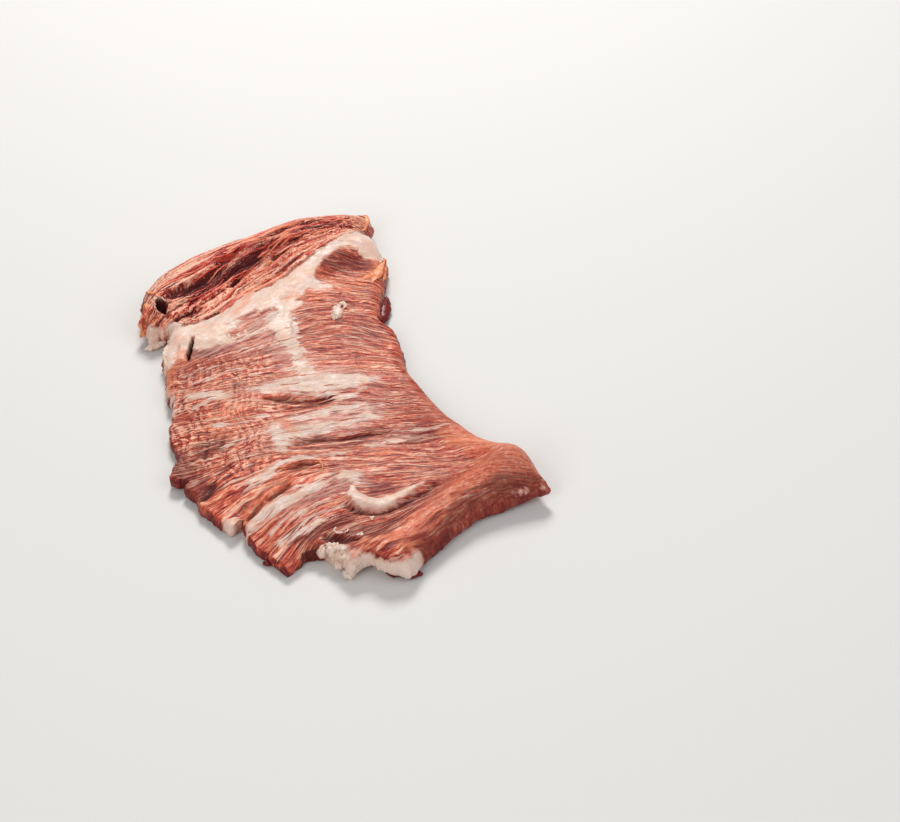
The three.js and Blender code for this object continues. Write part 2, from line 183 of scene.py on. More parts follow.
# The fat of the near lip lies low on its rim: below this height, within this stroke
LIP_FAT = {
    "stroke": (
        (-52, -119.5, 3), (-47, -124.5, 6), (-41, -127, 6), (-34, -128, 6), (-27, -130.5, 6.4),
        (-21, -130.5, 5.4), (-16.6, -126, 2),
    ),
    "top": 11.3,
}
FAT_STREAKS = {
    "column": (
        (-77.6, 32, 7), (-74.4, 23, 5.8), (-71.6, 15, 4.2), (-69.4, 8, 3.4), (-67.4, 1, 3.6),
        (-65, -4, 4.6),
    ),
    "thread_a": ((-104, 16.5, 0.8), (-97, 20, 1), (-91, 23, 1.2), (-85, 27, 1.3), (-80, 31, 1.6)),
    "upper_patch": (
        (-90, -17, 0.9), (-83, -16.8, 2.6), (-76, -15, 4.4), (-68, -14, 6.4), (-60, -14, 7.4),
        (-53, -13, 7), (-46, -12.8, 6), (-40, -12.8, 3.8), (-33, -13, 0.8),
    ),
    "upper_patch_low": ((-55, -21, 2), (-49, -24, 2.2), (-44, -23, 1.6), (-37, -18, 0.7)),
    "left_wisp": ((-116, -17.5, 0.8), (-110, -18, 2.2), (-104, -19.4, 3.2), (-98, -20, 1.6)),
    "middle_patch": (
        (-73, -39, 1), (-65, -38.4, 2.2), (-57, -35.8, 3.2), (-51, -33.4, 3.4), (-45, -32.4, 3),
        (-38, -32, 1.8), (-31, -31, 0.4),
    ),
    "middle_patch_low": (
        (-72, -48, 3), (-64, -46.6, 3.8), (-56, -45.4, 3.2), (-49, -43.4, 2.4), (-43, -40.2, 2.6),
        (-37, -38.6, 3), (-33, -39, 1.5),
    ),
    "crossing": ((-77, -43, 2.6), (-75.4, -49, 4.4), (-73.4, -55, 3.4), (-72, -59, 0.8)),
    "right_wisp": ((-38, -57.5, 0.8), (-33, -56.2, 1.3), (-27, -55, 1.3), (-21, -54.5, 0.5)),
    "right_thread": ((-30, -51.5, 0.4), (-20, -49.3, 0.7), (-10, -48, 0.7), (-3, -47.5, 0.2)),
    "arch": (
        (-86, -80, 0.5), (-81, -74, 1.3), (-76, -69.5, 1.7), (-71, -65.5, 1.8), (-64, -64, 1.3),
        (-56, -63, 0.8), (-48, -62.5, 0.4),
    ),
    "arch_thread": ((-88, -82.5, 0.4), (-81, -78, 0.9), (-74, -72, 0.6)),
    "long_band": (
        (-86, -106, 1.4), (-82, -101, 2.4), (-76, -95.6, 3.2), (-71, -91, 3.4), (-65, -87.4, 3),
        (-59, -84, 2.6), (-53, -80.5, 2.6), (-47, -77.4, 3.4), (-43, -78.5, 2.6), (-42, -83, 0.9),
    ),
    "band_ridge": ((-67, -82, 0.5), (-61, -82.5, 1), (-55, -79.5, 1)),
    "fan_thread_a": ((-76, -107, 0.5), (-67, -99, 0.9), (-57, -92, 0.9), (-47, -87, 0.5)),
    "fan_thread_b": ((-72, -113, 0.4), (-63, -103, 0.8), (-55, -98, 0.7), (-46, -93, 0.3)),
    "fan_patch": ((-62, -108, 1.2), (-57, -104, 1.6), (-51, -100, 1)),
    "roll_smear": ((-1, -111, -1.8), (4, -105, -1), (7, -102, -0.6), (9.6, -98.6, -1)),
    "roll_seam": ((17, -92.4, -1.8), (24, -90.4, -0.7), (30, -89, 0), (35, -87.6, 0.4)),
    "left_thread_a": ((-113, -9.8, 0), (-105.5, -6.4, 0.5), (-97.7, -2.6, 0.6), (-88, 0.6, 0)),
    "left_thread_b": ((-94.6, -6.1, 0.2), (-83.7, -4.7, 0.7), (-73.5, -2.5, 0.9), (-66, -0.5, 0.4)),
    "left_thread_c": ((-103, -39.5, 0.1), (-95, -39.4, 0.6), (-88, -38.6, 0.6), (-82, -35, 0.2)),
    "left_thread_d": ((-98, -54.4, 0.2), (-92.8, -52, 0.8), (-86, -50, 0.8), (-79, -47, 0.4)),
    "left_thread_e": ((-119, -4.7, 0), (-110, -0.8, 0.5), (-100, 2.2, 0.1)),
    "left_thread_f": ((-114.2, -27.8, 0), (-111.5, -25, 0.7), (-108, -23.2, 0.2)),
    "left_thread_g": ((-98, 10.4, 0.2), (-90.4, 13.2, 0.8), (-83, 15.4, 0.6), (-77, 17, 0.2)),
    "left_thread_h": ((-88, -62, 0), (-79.8, -59.2, 0.6), (-71.5, -57, 0.7), (-63, -58, 0.1)),
    "edge_seam": ((-123.5, -17, 1.2), (-122, -24, 1.1), (-121.6, -29, 0.5)),
}
# Thin see-through skin over the meat: place, half width
HAZE = {
    "beside_slit": ((-115, 12.6, 4), (-106, 15.6, 6), (-96, 20, 6)),
    "column": ((-82, 28, 8), (-75, 14, 8), (-68, 0, 9)),
    "upper": ((-90, -17, 4), (-72, -13, 9), (-52, -10, 12), (-36, -14, 5)),
    "middle": ((-76, -48, 7), (-55, -42, 10), (-38, -38, 7)),
    "seam_foot": ((-100, 24, 5), (-88, 30, 8), (-80, 34, 9)),
    "band": ((-80, -98, 4), (-64, -88, 6), (-44, -80, 7)),
    "right": ((-34, -55, 4), (-20, -52, 4)),
}
# Hollows between bundles, cut in and darkened with painted shade: place and half width, then depth
HOLLOWS = (
    ((
        (-130, 42, 1.2), (-124, 48, 2), (-117, 53, 2.2), (-111, 60, 2), (-106, 68, 1.8),
        (-102, 75, 1.5), (-98, 79, 0.8),
    ), 2.4),
    (((-119, 43, 0.8), (-113, 52, 1.3), (-107, 58, 1.4), (-100, 67, 1.2), (-96, 72, 0.8)), 1.6),
    (((-101, 59, 1.2), (-96, 66, 2), (-92, 73, 2.2), (-87, 80, 1.8), (-81, 84, 1.5), (-77, 87, 0.8)), 2.4),
    ((
        (-88, 87, 0.8), (-80, 92, 1.4), (-77, 96, 1.4), (-72, 99, 1.4), (-66, 100, 1.2),
        (-58, 101, 0.9), (-48, 103, 0.6),
    ), 1.7),
    (((-112, 36, 1.2), (-107, 40, 1.4), (-104, 38, 0.8)), 1.2),
    (((-82, 77, 0.8), (-74, 86, 1.2), (-70, 91, 0.8)), 1.3),
    (((-127, 32, 0.8), (-120, 37, 1.1), (-115, 41, 0.8)), 1.3),
    (((-128, 50, 0.6), (-122, 57, 0.9), (-114, 66, 0.6)), 1.0),
    (((-82, -22.6, 0.6), (-71, -24.4, 1.3), (-61, -24.6, 1), (-54, -23.4, 0.4)), 1.2),
    (((-77, -29.6, 0.4), (-69, -28.4, 0.9), (-60, -27, 0.9), (-52, -25, 0.3)), 1.0),
    ((
        (-67, -54, 0.6), (-60, -52.3, 1.2), (-50, -52, 1), (-43, -51, 1), (-36, -49, 1.1),
        (-29, -48, 0.4),
    ), 1.1),
    (((-66, -57, 0.3), (-50, -56, 0.6), (-40, -54, 0.3)), 0.6),
    (((-73, -71.5, 0.4), (-66, -69.3, 1.5), (-60, -67.8, 0.8)), 1.6),
    (((-78, -87, 0.6), (-74, -84, 1.6), (-70, -80, 0.7)), 1.6),
    (((-86, -97, 0.8), (-84, -94, 1), (-81, -89, 0.5)), 1.4),
    ((
        (-47, -95.5, 0.8), (-42, -98.5, 1.4), (-35, -100, 1.2), (-28, -98.5, 1), (-21, -94.5, 1),
        (-15, -90, 0.9), (-9, -84, 0.5),
    ), 1.2),
    (((-54, -112, 0.8), (-50, -115.5, 2.4), (-46, -117, 1.8), (-41, -117.5, 0.8)), 1.8),
    (((-96, -3, -0.3), (-95.5, -12, 0.2), (-96, -18, 0)), 1.2),
    (((-96.5, -22, -0.3), (-96, -33, -0.1)), 0.9),
    (((-98.5, -47, 0), (-99, -55, 0.3), (-98.5, -60, -0.1)), 1.0),
    (((-105, -44, 0), (-106, -54, 0.2), (-105.5, -63, 0)), 0.9),
    (((-110, -24, -0.3), (-111, -34, -0.1)), 0.7),
    (((-117.5, -4, -0.2), (-118.5, -14, 0), (-118, -26, -0.1)), 0.7),
    (((-77, 46.3, 0.4), (-73, 48.6, 0.6), (-68, 50.5, 0.4)), 1.0),
    (((-105, -84, 1.2), (-102, -79, 1.4), (-101, -75, 0.7)), 1.2),
    (((-63, -121, 0.8), (-61, -118.5, 1), (-58, -116, 0.6)), 1.2),
)
# Purple-brown lean meat under a skin, and painted shade in purple-brown along the strip's crease and on the roll's
# near side
PURPLE_AND_PAINTED_SHADE = (
    ((-59, 74.5, 3), (-51, 78, 4.6), (-43, 76, 4.6), (-37, 73, 2.4)),
    ((-115, 10, 2.6), (-108, 12, 2.6), (-101, 15, 1.2)),
    ((-17, -124, 5), (-4, -113, 7.6), (6, -103, 8.6), (18, -95.4, 8), (32, -90, 5)),
    ((-126, 45, 0.6), (-117, 54, 1.6), (-108, 62, 2), (-98, 71, 2), (-88, 80, 1.6), (-78, 88, 0.6)),
    ((-118, -58, 5), (-113, -70, 6), (-105, -81, 5)),
    ((-66, -112, 3), (-56, -108, 5), (-46, -104, 4)),
    ((-34, -86, 3), (-28, -84, 2)),
    ((-40, -111, 5), (-33, -113, 6), (-27, -108, 4)),
    ((-106, -55, 5), (-100, -52, 4)),
    ((-50, -116, 4), (-43, -117, 3)),
    ((-24, -53, 4), (-12, -52, 3)),
    ((-68, 62, 2.2), (-65, 63.5, 1.6)),
)
# Places that are more orange: dried rims, cut fat with meat below it
ORANGE = (
    ((-92, 53, 1.4), (-95, 44, 2), (-98, 36, 1.6)),
    ((-77, 46, 0.9), (-72, 49, 1), (-65, 51.2, 1), (-56, 50.5, 1.4)),
    ((-31.5, 82, 1.8), (-33, 75, 2.6), (-37, 68, 3), (-42, 60, 1.6)),
    ((-46, -69.5, 1.6), (-38, -70, 2)),
    ((-34, -62, 2.4), (-29, -61, 1.6)),
    ((-126, 0, 2.4), (-124.5, -8, 2.8), (-123, -14, 1.8)),
    ((-42, -119.5, 1.2), (-36, -121, 1.8), (-28, -121.5, 2), (-21, -124, 1.8), (-16, -126, 1)),
    ((-127, 3, 1.2), (-120, 4.5, 1.4), (-112, 7, 0.8)),
    ((-120.6, 12, 1.2), (-119.6, 8, 2.2), (-121, 5, 1.6)),
    ((-141.4, 45, 2.4), (-141.6, 37, 3), (-138, 33.5, 2.4)),
    ((-4, -54, 3), (10, -60, 4), (22, -68, 3)),
    ((-79, -17.3, 1), (-72, -16.6, 0.9)),
    ((-121, 8, 3), (-121.3, 14, 1.6)),
    ((-74, -40, 3), (-70, -46, 2)),
    ((-87, -93, 1.6), (-89, -99, 1.8)),
)
# Smooth meat with fine fibres, where a muscle's outer side shows
CALM = (
    ((-22, -117, 5), (-9, -106, 8), (5, -94, 11), (19, -83, 12), (31, -82, 8)),
    ((-14, -28, 3), (-2, -48, 6), (10, -60, 8), (24, -70, 9)),
)
SPECKLED_LEAN = ((-99, 22, 2), (-92, 28, 3), (-86, 33, 3.4), (-81, 38, 2))
BODY_PITCH = 2.7
STRIP_PITCH = 3.6
FIBRE_SLACK = 60
GUIDE_SPACING = 9.0
HOOK_RISE = 1.1
TAIL_SLIT = {
    "stroke": ((-115.9, 20.6, 0), (-116.6, 16.5, 0.6), (-117.5, 12, 0.7), (-117.4, 7.6, 0.1)),
    "depth": 8.0,
}
HATCHED = {"right_border": (66.0, 86.0), "far_border": (-16.0, 2.0), "near_border": (-84.0, -64.0)}
TORN_HOLLOW = {"at": (-131.2, 38.4), "size": (2.8, 3.8), "turn": 0.3, "depth": 6.0}

DRAWING_TO_METRES = 0.001


# Small tools
def mix(low, high, share):
    """The value share of the way from low to high."""
    return low + (high - low) * share


def bell(distance, spread):
    """A bell curve: one in the middle, 0.37 at spread, and near nothing at twice that."""
    return np.exp(-((distance / spread) ** 2))


def step_up(value, low, high):
    """Zero below low, one above high, and an S curve between them."""
    t = np.clip((value - low) / (high - low), 0, 1)
    return t * t * (3 - 2 * t)


def hills(u, v, seed):
    """Smooth random hills from about -1 to 1. Every whole-numbered place has a random slope, and between
    places the four slopes around are blended with the ease 6t^5 - 15t^4 + 10t^3."""
    turn = np.random.default_rng(seed).uniform(0, 2 * np.pi, (256, 256))
    i, j = np.floor(u).astype(int), np.floor(v).astype(int)
    a, b = u - i, v - j

    def corner(di, dj):
        angle = turn[(i + di) & 255, (j + dj) & 255]
        return np.cos(angle) * (a - di) + np.sin(angle) * (b - dj)

    s = a * a * a * (a * (6 * a - 15) + 10)
    t = b * b * b * (b * (6 * b - 15) + 10)
    return 1.5 * mix(mix(corner(0, 0), corner(1, 0), s), mix(corner(0, 1), corner(1, 1), s), t)


def run_along(points):
    """How far along a line of points each of them is."""
    return np.concatenate(((0,), np.cumsum(np.linalg.norm(np.diff(points, axis=0), axis=1))))


def curve(points, count):
    """A smooth curve through points, cut into count equal lengths. Each span is a Catmull-Rom cubic with
    knots spaced by the square root of the distance between points."""
    p = np.asarray(points, float)
    p = np.vstack((2 * p[0] - p[1], p, 2 * p[-1] - p[-2]))
    a, b, c, d = p[:-3], p[1:-2], p[2:-1], p[3:]
    pairs = ((a, b), (b, c), (c, d))
    ab, bc, cd = (np.sqrt(np.linalg.norm(end - start, axis=1))[:, None] for start, end in pairs)
    leave = ((b - a) / ab - (c - a) / (ab + bc) + (c - b) / bc) * bc
    arrive = ((c - b) / bc - (d - b) / (bc + cd) + (d - c) / cd) * bc
    t = np.linspace(0, 1, 24, endpoint=False)[None, :, None]
    span = (2 * t**3 - 3 * t**2 + 1) * b[:, None] + (t**3 - 2 * t**2 + t) * leave[:, None]
    span = span + (3 * t**2 - 2 * t**3) * c[:, None] + (t**3 - t**2) * arrive[:, None]
    dense = np.vstack((span.reshape(-1, p.shape[1]), p[-2]))
    run = run_along(dense)
    stops = np.linspace(0, run[-1], count + 1)
    return np.column_stack([np.interp(stops, run, column) for column in dense.T])


def to_line(x, y, line):
    """For every place: its distance to a line of points, how far along the line that is, and on which
    side the place lies."""
    points = np.asarray(line, float)[:, :2]
    best = np.full(np.shape(x), np.inf)
    along = np.zeros(np.shape(x))
    side = np.ones(np.shape(x))
    run = 0.0
    for (ax, ay), (bx, by) in zip(points[:-1], points[1:]):
        dx, dy = bx - ax, by - ay
        length = np.hypot(dx, dy)
        share = np.clip(((x - ax) * dx + (y - ay) * dy) / length**2, 0, 1)
        distance = np.hypot(x - ax - share * dx, y - ay - share * dy)
        nearer = distance < best
        best = np.where(nearer, distance, best)
        along = np.where(nearer, run + share * length, along)
        side = np.where(nearer, np.sign(dx * (y - ay) - dy * (x - ax)), side)
        run += length
    return best, along, side


def line_length(line):
    """The length in plan of a line of points: the sum of its steps."""
    return np.linalg.norm(np.diff(np.asarray(line, float)[:, :2], axis=0), axis=1).sum()


def inside_stroke(x, y, stroke):
    """How far inside a brush stroke each place is: the half width there less the distance to its line."""
    points = np.asarray(stroke, float)
    distance, along, _ = to_line(x, y, points)
    return np.interp(along, run_along(points[:, :2]), points[:, 2]) - distance


def inside_any(x, y, strokes):
    """How far inside the nearest of several brush strokes each place is."""
    return np.max([inside_stroke(x, y, stroke) for stroke in strokes], axis=0)


# The slab's plan and heights
def soften(side):
    """A side without its notches and teeth: neighbours averaged until they reach SIDE_SOFTNESS, ends held."""
    step = np.linalg.norm(np.diff(side, axis=0), axis=1).mean()
    soft = side.copy()
    for _ in range(int(2 * (SIDE_SOFTNESS / step) ** 2)):
        soft[1:-1] = (soft[:-2] + 2 * soft[1:-1] + soft[2:]) / 4
    return soft


def fray(side, seed):
    """A side with small ragged teeth: each point shifted by two sizes of random hills."""
    run = run_along(side)
    hold = np.minimum(1, np.minimum(run, run[-1] - run) / 6)[:, None]

    def shift(lane):
        lanes = np.full(run.shape, lane)
        return 0.7 * hills(run / 3.1, lanes, seed) + 0.42 * hills(run / 1.3, lanes, seed + 1)

    return side + hold * np.column_stack((shift(0.5), shift(7.5)))


def plan_grid():
    """The plan as a grid of places. Between the four smooth sides it is a Coons patch, the sum of the two
    ruled surfaces less the one through the corners. Each side's own teeth fade out over OUTLINE_REACH."""
    side = {
        "far": curve(FAR_SIDE, ACROSS), "near": fray(curve(NEAR_SIDE, ACROSS), 51),
        "left": fray(curve(LEFT_SIDE, ALONG), 53), "right": curve(RIGHT_SIDE, ALONG),
    }
    soft = {name: soften(points) for name, points in side.items()}
    u = np.linspace(0, 1, ACROSS + 1)[None, :, None]
    v = np.linspace(0, 1, ALONG + 1)[:, None, None]
    far, near = soft["far"][None], soft["near"][None]
    left, right = soft["left"][:, None], soft["right"][:, None]
    grid = (1 - v) * far + v * near + (1 - u) * left + u * right
    grid = grid - (1 - u) * (1 - v) * far[:, :1] - u * (1 - v) * far[:, -1:]
    grid = grid - (1 - u) * v * near[:, :1] - u * v * near[:, -1:]
    height = np.linalg.norm(far - near, axis=2, keepdims=True)
    width = np.linalg.norm(left - right, axis=2, keepdims=True)
    depth = {"far": v * height, "near": (1 - v) * height, "left": u * width, "right": (1 - u) * width}
    for name, points in side.items():
        teeth = points - soft[name]
        teeth = teeth[None] if name in ("far", "near") else teeth[:, None]
        grid = grid + teeth * np.exp(-depth[name] / OUTLINE_REACH)
    return grid


def rim_order():
    """Grid columns and rows of the rim, anticlockwise from the far left corner."""
    column = np.concatenate(
        (np.zeros(ALONG), np.arange(ACROSS), np.full(ALONG, ACROSS), np.arange(ACROSS, 0, -1)))
    row = np.concatenate(
        (np.arange(ALONG), np.full(ACROSS, ALONG), np.arange(ALONG, 0, -1), np.zeros(ACROSS)))
    return column.astype(int), row.astype(int)


def rim_squareness():
    """How square the rim is cut at each of its places: 0 for a round edge, 1 for a knife cut."""

    def read(name, count, back):
        share = np.arange(count) / count
        values = SQUARENESS[name]
        return np.interp(1 - share if back else share, np.linspace(0, 1, len(values)), values)

    there = (read("left", ALONG, False), read("near", ACROSS, False))
    back_again = (read("right", ALONG, True), read("far", ACROSS, True))
    return np.concatenate(there + back_again)


def rim_distance(grid):
    """Distance from each grid place to the rim, and the squareness of the rim there."""
    column, row = rim_order()
    start = grid[row, column]
    edge = np.roll(start, -1, axis=0) - start
    square = rim_squareness()
    distance = np.empty(grid.shape[:2])
    squareness = np.empty(grid.shape[:2])
    for k, places in enumerate(grid):
        away = places[:, None] - start[None]
        share = np.clip((away * edge[None]).sum(2) / (edge * edge).sum(1)[None], 0, 1)
        gaps = np.linalg.norm(away - share[..., None] * edge[None], axis=2)
        nearest = gaps.argmin(axis=1)
        distance[k] = gaps[np.arange(len(places)), nearest]
        squareness[k] = square[nearest]
    return distance, squareness


def thickness_at(x, y):
    """The plain sheet plus a bell-shaped swell or groove along each line of RIDGES."""
    thickness = np.full(np.shape(x), SHEET)
    for line, spread, rise in RIDGES:
        distance, along, _ = to_line(x, y, line)
        thickness = thickness + mix(rise[0], rise[1], along / line_length(line)) * bell(distance, spread)
    return thickness


def lift_at(x, y):
    """How far the underside is off the table."""
    return sum(rise * bell(np.hypot(x - at[0], y - at[1]), spread) for at, spread, rise in LIFTS)


# The meat's grain
def fibre_field(x, y, guides, spacing):
    """A height map that is level along the guide lines, so its contours are the fibres. It is the smoothest
    sheet through the guides' values: a plane plus a sum of r^2 log r humps (a thin-plate spline)."""
    lanes = [curve(line, max(2, int(line_length(line) / spacing))) for _, line in guides]
    places = np.vstack(lanes)
    values = np.concatenate([np.full(len(lane), value) for lane, (value, _) in zip(lanes, guides)])

    def hump(dx, dy):
        square = dx * dx + dy * dy + 1e-6
        return square * np.log(square)

    count = len(places)
    system = np.zeros((count + 3, count + 3))
    between_places = hump(places[:, :1] - places[:, 0], places[:, 1:] - places[:, 1])
    system[:count, :count] = between_places + FIBRE_SLACK * np.eye(count)
    system[:count, count:] = np.column_stack((np.ones(count), places))
    system[count:, :count] = system[:count, count:].T
    weights = np.linalg.solve(system, np.concatenate((values, np.zeros(3))))
    field = weights[count] + weights[count + 1] * x + weights[count + 2] * y
    for weight, (px, py) in zip(weights, places):
        field = field + weight * hump(x - px, y - py)
    return field


def steepness(field, grid):
    """How fast a field changes over the plan, per millimetre, from its steps along the grid's two ways."""
    total = 0
    for axis in (0, 1):
        step = np.linalg.norm(np.gradient(grid, axis=axis), axis=2)
        total = total + (np.gradient(field, axis=axis) / step) ** 2
    return np.sqrt(total)


def strip_share(x, y):
    """One in the rolled strip along the far edge, zero in the body, with a ragged border between them."""
    distance, _, side = to_line(x, y, STRIP_BORDER)
    return step_up(side * distance + 1.3 * hills(x / 5, y / 5, 3) + 0.6 * hills(x / 2, y / 2, 4), -0.8, 0.8)


def bundles(grid, strip):
    """The muscle bundles. Their phase rises by one from each bundle to the next, and wanders, so that
    bundles swell, thin and meet; its sine gives the crests, its whole part gives each bundle its own tone."""
    x, y = grid[..., 0], grid[..., 1]
    wave = 0.9 * hills(x / 17, y / 17, 5) + 0.4 * hills(x / 7, y / 7, 6)
    body = fibre_field(x, y, BODY_FIBRES, GUIDE_SPACING) + wave
    rope = fibre_field(x, y, STRIP_FIBRES, GUIDE_SPACING) + wave
    count = mix(body / BODY_PITCH, rope / STRIP_PITCH, strip)
    along = mix(x, 0.72 * x + 0.7 * y, strip)
    phase = count + 0.55 * hills(along / 36, count / 2, 11) + 0.24 * hills(along / 13, count / 0.95, 12)
    number = np.floor(phase)
    tone = hills(along / 22 + 7.1 * number, 0.37 * number + 0.5, 15)
    nearer = mix(body / BODY_PITCH, rope / STRIP_PITCH, np.round(strip))
    pitch = 1 / np.maximum(steepness(nearer, grid), 0.05)
    clear = step_up(pitch, 0.9, 2.0) * (1 - 3.2 * strip * (1 - strip))
    return {"along": along, "phase": phase, "tone": tone, "clear": clear, "rope": rope, "count": count}


def grain(grid):
    """Everything the surface and its colours are worked out from, at each place of the plan grid."""
    x, y = grid[..., 0], grid[..., 1]
    strip = strip_share(x, y)
    g = bundles(grid, strip)
    g["strip"] = strip
    g["crest"] = np.abs(np.sin(np.pi * g["phase"]))

    left = step_up(-x, *HATCHED["right_border"]) * step_up(-y, *HATCHED["far_border"])
    left = left * step_up(y, *HATCHED["near_border"]) * (1 - strip)
    g["hatch"] = left * step_up(hills(x / 6, y / 9, 23) + 0.5 * hills(x / 3, y / 4, 24), -0.9, 0.2)
    g["column"] = (x + 0.12 * y) / 3.9 + 1.2 * hills(x / 13, y / 19, 21) + 0.5 * hills(x / 5, y / 7, 22)

    streak = 0.8 * hills(g["along"] / 15, g["count"] * 1.3, 31) + 0.9 * hills(g["along"] / 7, g["count"] * 2.9, 32)
    torn = 2.1 * streak + 0.5 * hills(x / 3, y / 3, 33)
    lumpy = 0.9 * hills(x / 4.5, y / 4.5, 37) + 0.4 * hills(x / 1.7, y / 1.7, 38)
    sheet = inside_any(x, y, FAT_SHEETS.values()) + lumpy + 0.25 * torn * (1 - strip)
    specks = step_up(hills(x / 2.3, y / 1.8, 34) - 0.2, 0, 0.35)
    speckled = np.clip(inside_stroke(x, y, SPECKLED_LEAN), -4, 3)
    sheet = np.where(speckled > -1, np.minimum(sheet, 2.4 * specks - speckled), sheet)
    g["sheet"] = np.clip(sheet, -7, 4)
    g["streak"] = np.clip(inside_any(x, y, FAT_STREAKS.values()) + torn * (1 - 0.5 * strip), -7, 4)
    g["fat"] = np.maximum(g["sheet"], g["streak"])
    g["haze"] = step_up(inside_any(x, y, HAZE.values()) + 2.2 * torn, -3, 6.5)

    hollow = np.zeros(x.shape)
    depth = np.zeros(x.shape)
    for stroke, deep in HOLLOWS:
        inside = inside_stroke(x, y, stroke) + 0.35 * torn
        hollow = np.maximum(hollow, step_up(inside, -1.3, 0.9))
        depth = np.maximum(depth, deep * step_up(inside, -1.6, 1.2))
    slit = inside_stroke(x, y, TAIL_SLIT["stroke"]) + 0.25 * hills(x / 1.6, y / 1.6, 35)
    g["slit"] = step_up(slit, -0.5, 0.3)
    g["pit"] = torn_hollow(x, y) + 0.16 * hills(x / 1.8, y / 1.8, 36)
    # where painted shade goes inside the tail slit and the torn hollow
    g["gap"] = np.maximum(step_up(slit, -0.5, -0.1), step_up(g["pit"], -0.12, 0.08))
    g["hollow"] = hollow
    g["depth"] = depth
    # purple-brown meat, partly painted shade on the strip's crease and the roll's near side
    g["purple"] = step_up(inside_any(x, y, PURPLE_AND_PAINTED_SHADE) + 1.2 * torn, -3, 2.5)
    g["calm"] = step_up(inside_any(x, y, CALM), -4, 4)
    g["orange"] = step_up(inside_any(x, y, ORANGE) + 0.9 * torn, -1.4, 1.6)
    return g


def relief(x, y, g):
    """Height of the surface detail: rounded bundles with sharp grooves between them, deeper ropes in the
    strip, cross grooves on the left, smooth raised fat, and the dark hollows cut in."""
    fan = step_up(-y + 0.5 * (x + 100), 70, 100) * step_up(-x, 38, 60)
    vigour = 0.6 + 0.5 * hills(g["along"] / 40, g["count"] / 3, 16)
    lean = (g["crest"] ** 0.8 - 0.7) * (0.45 + 0.25 * vigour + 0.45 * fan) * g["clear"] + 0.14 * g["tone"]
    thin = np.abs(np.sin(np.pi * (2.4 * g["phase"] + 0.8 * hills(g["along"] / 12, g["count"], 17))))
    far_slope = step_up(g["rope"], 12, 19)
    ropes = (g["crest"] ** 0.6 - 0.75) * 1.7 * (0.6 + 0.5 * vigour) + 0.5 * (thin ** 0.7 - 0.7) + 0.5 * g["tone"]
    crumbs = 0.4 * hills(x / 1.2, y / 1.2, 46) + 0.35 * hills(x / 2.3, y / 2.3, 47)
    lean = lean * (1 - 0.75 * g["calm"])
    lean = mix(lean, ropes * (1 - 0.7 * far_slope) + crumbs * (1 - 0.6 * far_slope), g["strip"])
    furrow = np.abs(np.sin(np.pi * g["column"])) ** 0.5
    lean = lean + g["hatch"] * (0.5 * (furrow - 0.8) + 0.12 * hills(x / 1.5, y / 1.5, 43))
    skin = 0.45 + 0.55 * hills(x / 7, y / 7, 44) + 0.24 * hills(x / 2.6, y / 2.6, 45)
    fibrous = step_up(g["streak"] - g["sheet"], -0.5, 1.5) * (1 - g["strip"])
    skin = skin + fibrous * 0.3 * (g["crest"] ** 0.8 - 0.7)
    detail = mix(lean, skin, step_up(g["fat"], -0.6, 1.0)) - g["depth"] * (1 - 0.7 * step_up(g["fat"], -0.6, 0.8))
    detail = detail + HOOK_RISE * step_up(inside_stroke(x, y, FAT_SHEETS["hook"]), -1.4, 1.6)
    detail = detail - TAIL_SLIT["depth"] * g["slit"]
    return detail - TORN_HOLLOW["depth"] * step_up(g["pit"], -0.12, 0.45) + 1.1 * bell(g["pit"] + 0.25, 0.22)


def torn_hollow(x, y):
    """How far inside the oval at the strip's torn end each place is: 1 in its middle, 0 on its rim."""
    dx, dy = x - TORN_HOLLOW["at"][0], y - TORN_HOLLOW["at"][1]
    c, s = np.cos(TORN_HOLLOW["turn"]), np.sin(TORN_HOLLOW["turn"])
    return 1 - np.hypot((c * dx + s * dy) / TORN_HOLLOW["size"][0], (c * dy - s * dx) / TORN_HOLLOW["size"][1])


def swell_at(x, y):
    """The sheet's gentle swell, the product of two slow waves."""
    return UNDULATION["rise"] * np.sin(x / UNDULATION["length_x"] + 1) * np.cos(y / UNDULATION["length_y"])


def surface_heights(grid):
    """Heights of the upper side and of the underside. Near the rim both follow a quarter ellipse down, or
    up, to the wall; a cut edge has a high wall and a small radius, a round one a low wall and a big one."""
    x, y = grid[..., 0], grid[..., 1]
    distance, square = rim_distance(grid)
    thickness = thickness_at(x, y)
    lift = lift_at(x, y)
    shoulder = mix(ROUND_RIM["top"], CUT_RIM["top"], square)
    foot = mix(ROUND_RIM["bottom"], CUT_RIM["bottom"], square)
    reach = thickness * mix(ROUND_RIM["reach"], CUT_RIM["reach"], square)
    arc = np.sqrt(1 - (1 - np.clip(distance / reach, 0, 1)) ** 2)
    g = grain(grid)
    g["sheer"] = 0.9 * (1 - step_up(arc, 0.1, 0.6))
    detail = relief(x, y, g) * (0.35 + 0.65 * arc)
    top = lift + thickness * mix(shoulder, 1, arc) + swell_at(x, y) * arc + detail
    bottom = lift + thickness * foot * (1 - arc)
    return np.maximum(top, bottom + 1.2), bottom, thickness, g


SKIN_FIELDS = (
    "along", "phase", "tone", "clear", "rope", "strip", "hatch", "column", "calm", "sheet", "streak", "haze",
    "hollow", "gap", "purple", "orange",
)


# Meshes
def make_piece(name, places, faces, material, fields):
    """A mesh from places in millimetres of the drawing, with a value at each place for every field."""
    metres = np.column_stack((places[:, :2] - MIDDLE, places[:, 2])) * DRAWING_TO_METRES
    mesh = bpy.data.meshes.new(name)
    mesh.from_pydata(metres.tolist(), [], faces)
    mesh.update()
    for field, values in fields.items():
        attribute = mesh.attributes.new(field, "FLOAT", "POINT")
        attribute.data.foreach_set("value", np.asarray(values, np.float32))
    mesh.polygons.foreach_set("use_smooth", np.ones(len(mesh.polygons), bool))
    mesh.materials.append(material)
    piece = bpy.data.objects.new(name, mesh)
    bpy.context.scene.collection.objects.link(piece)
    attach(piece, "root")
    return piece


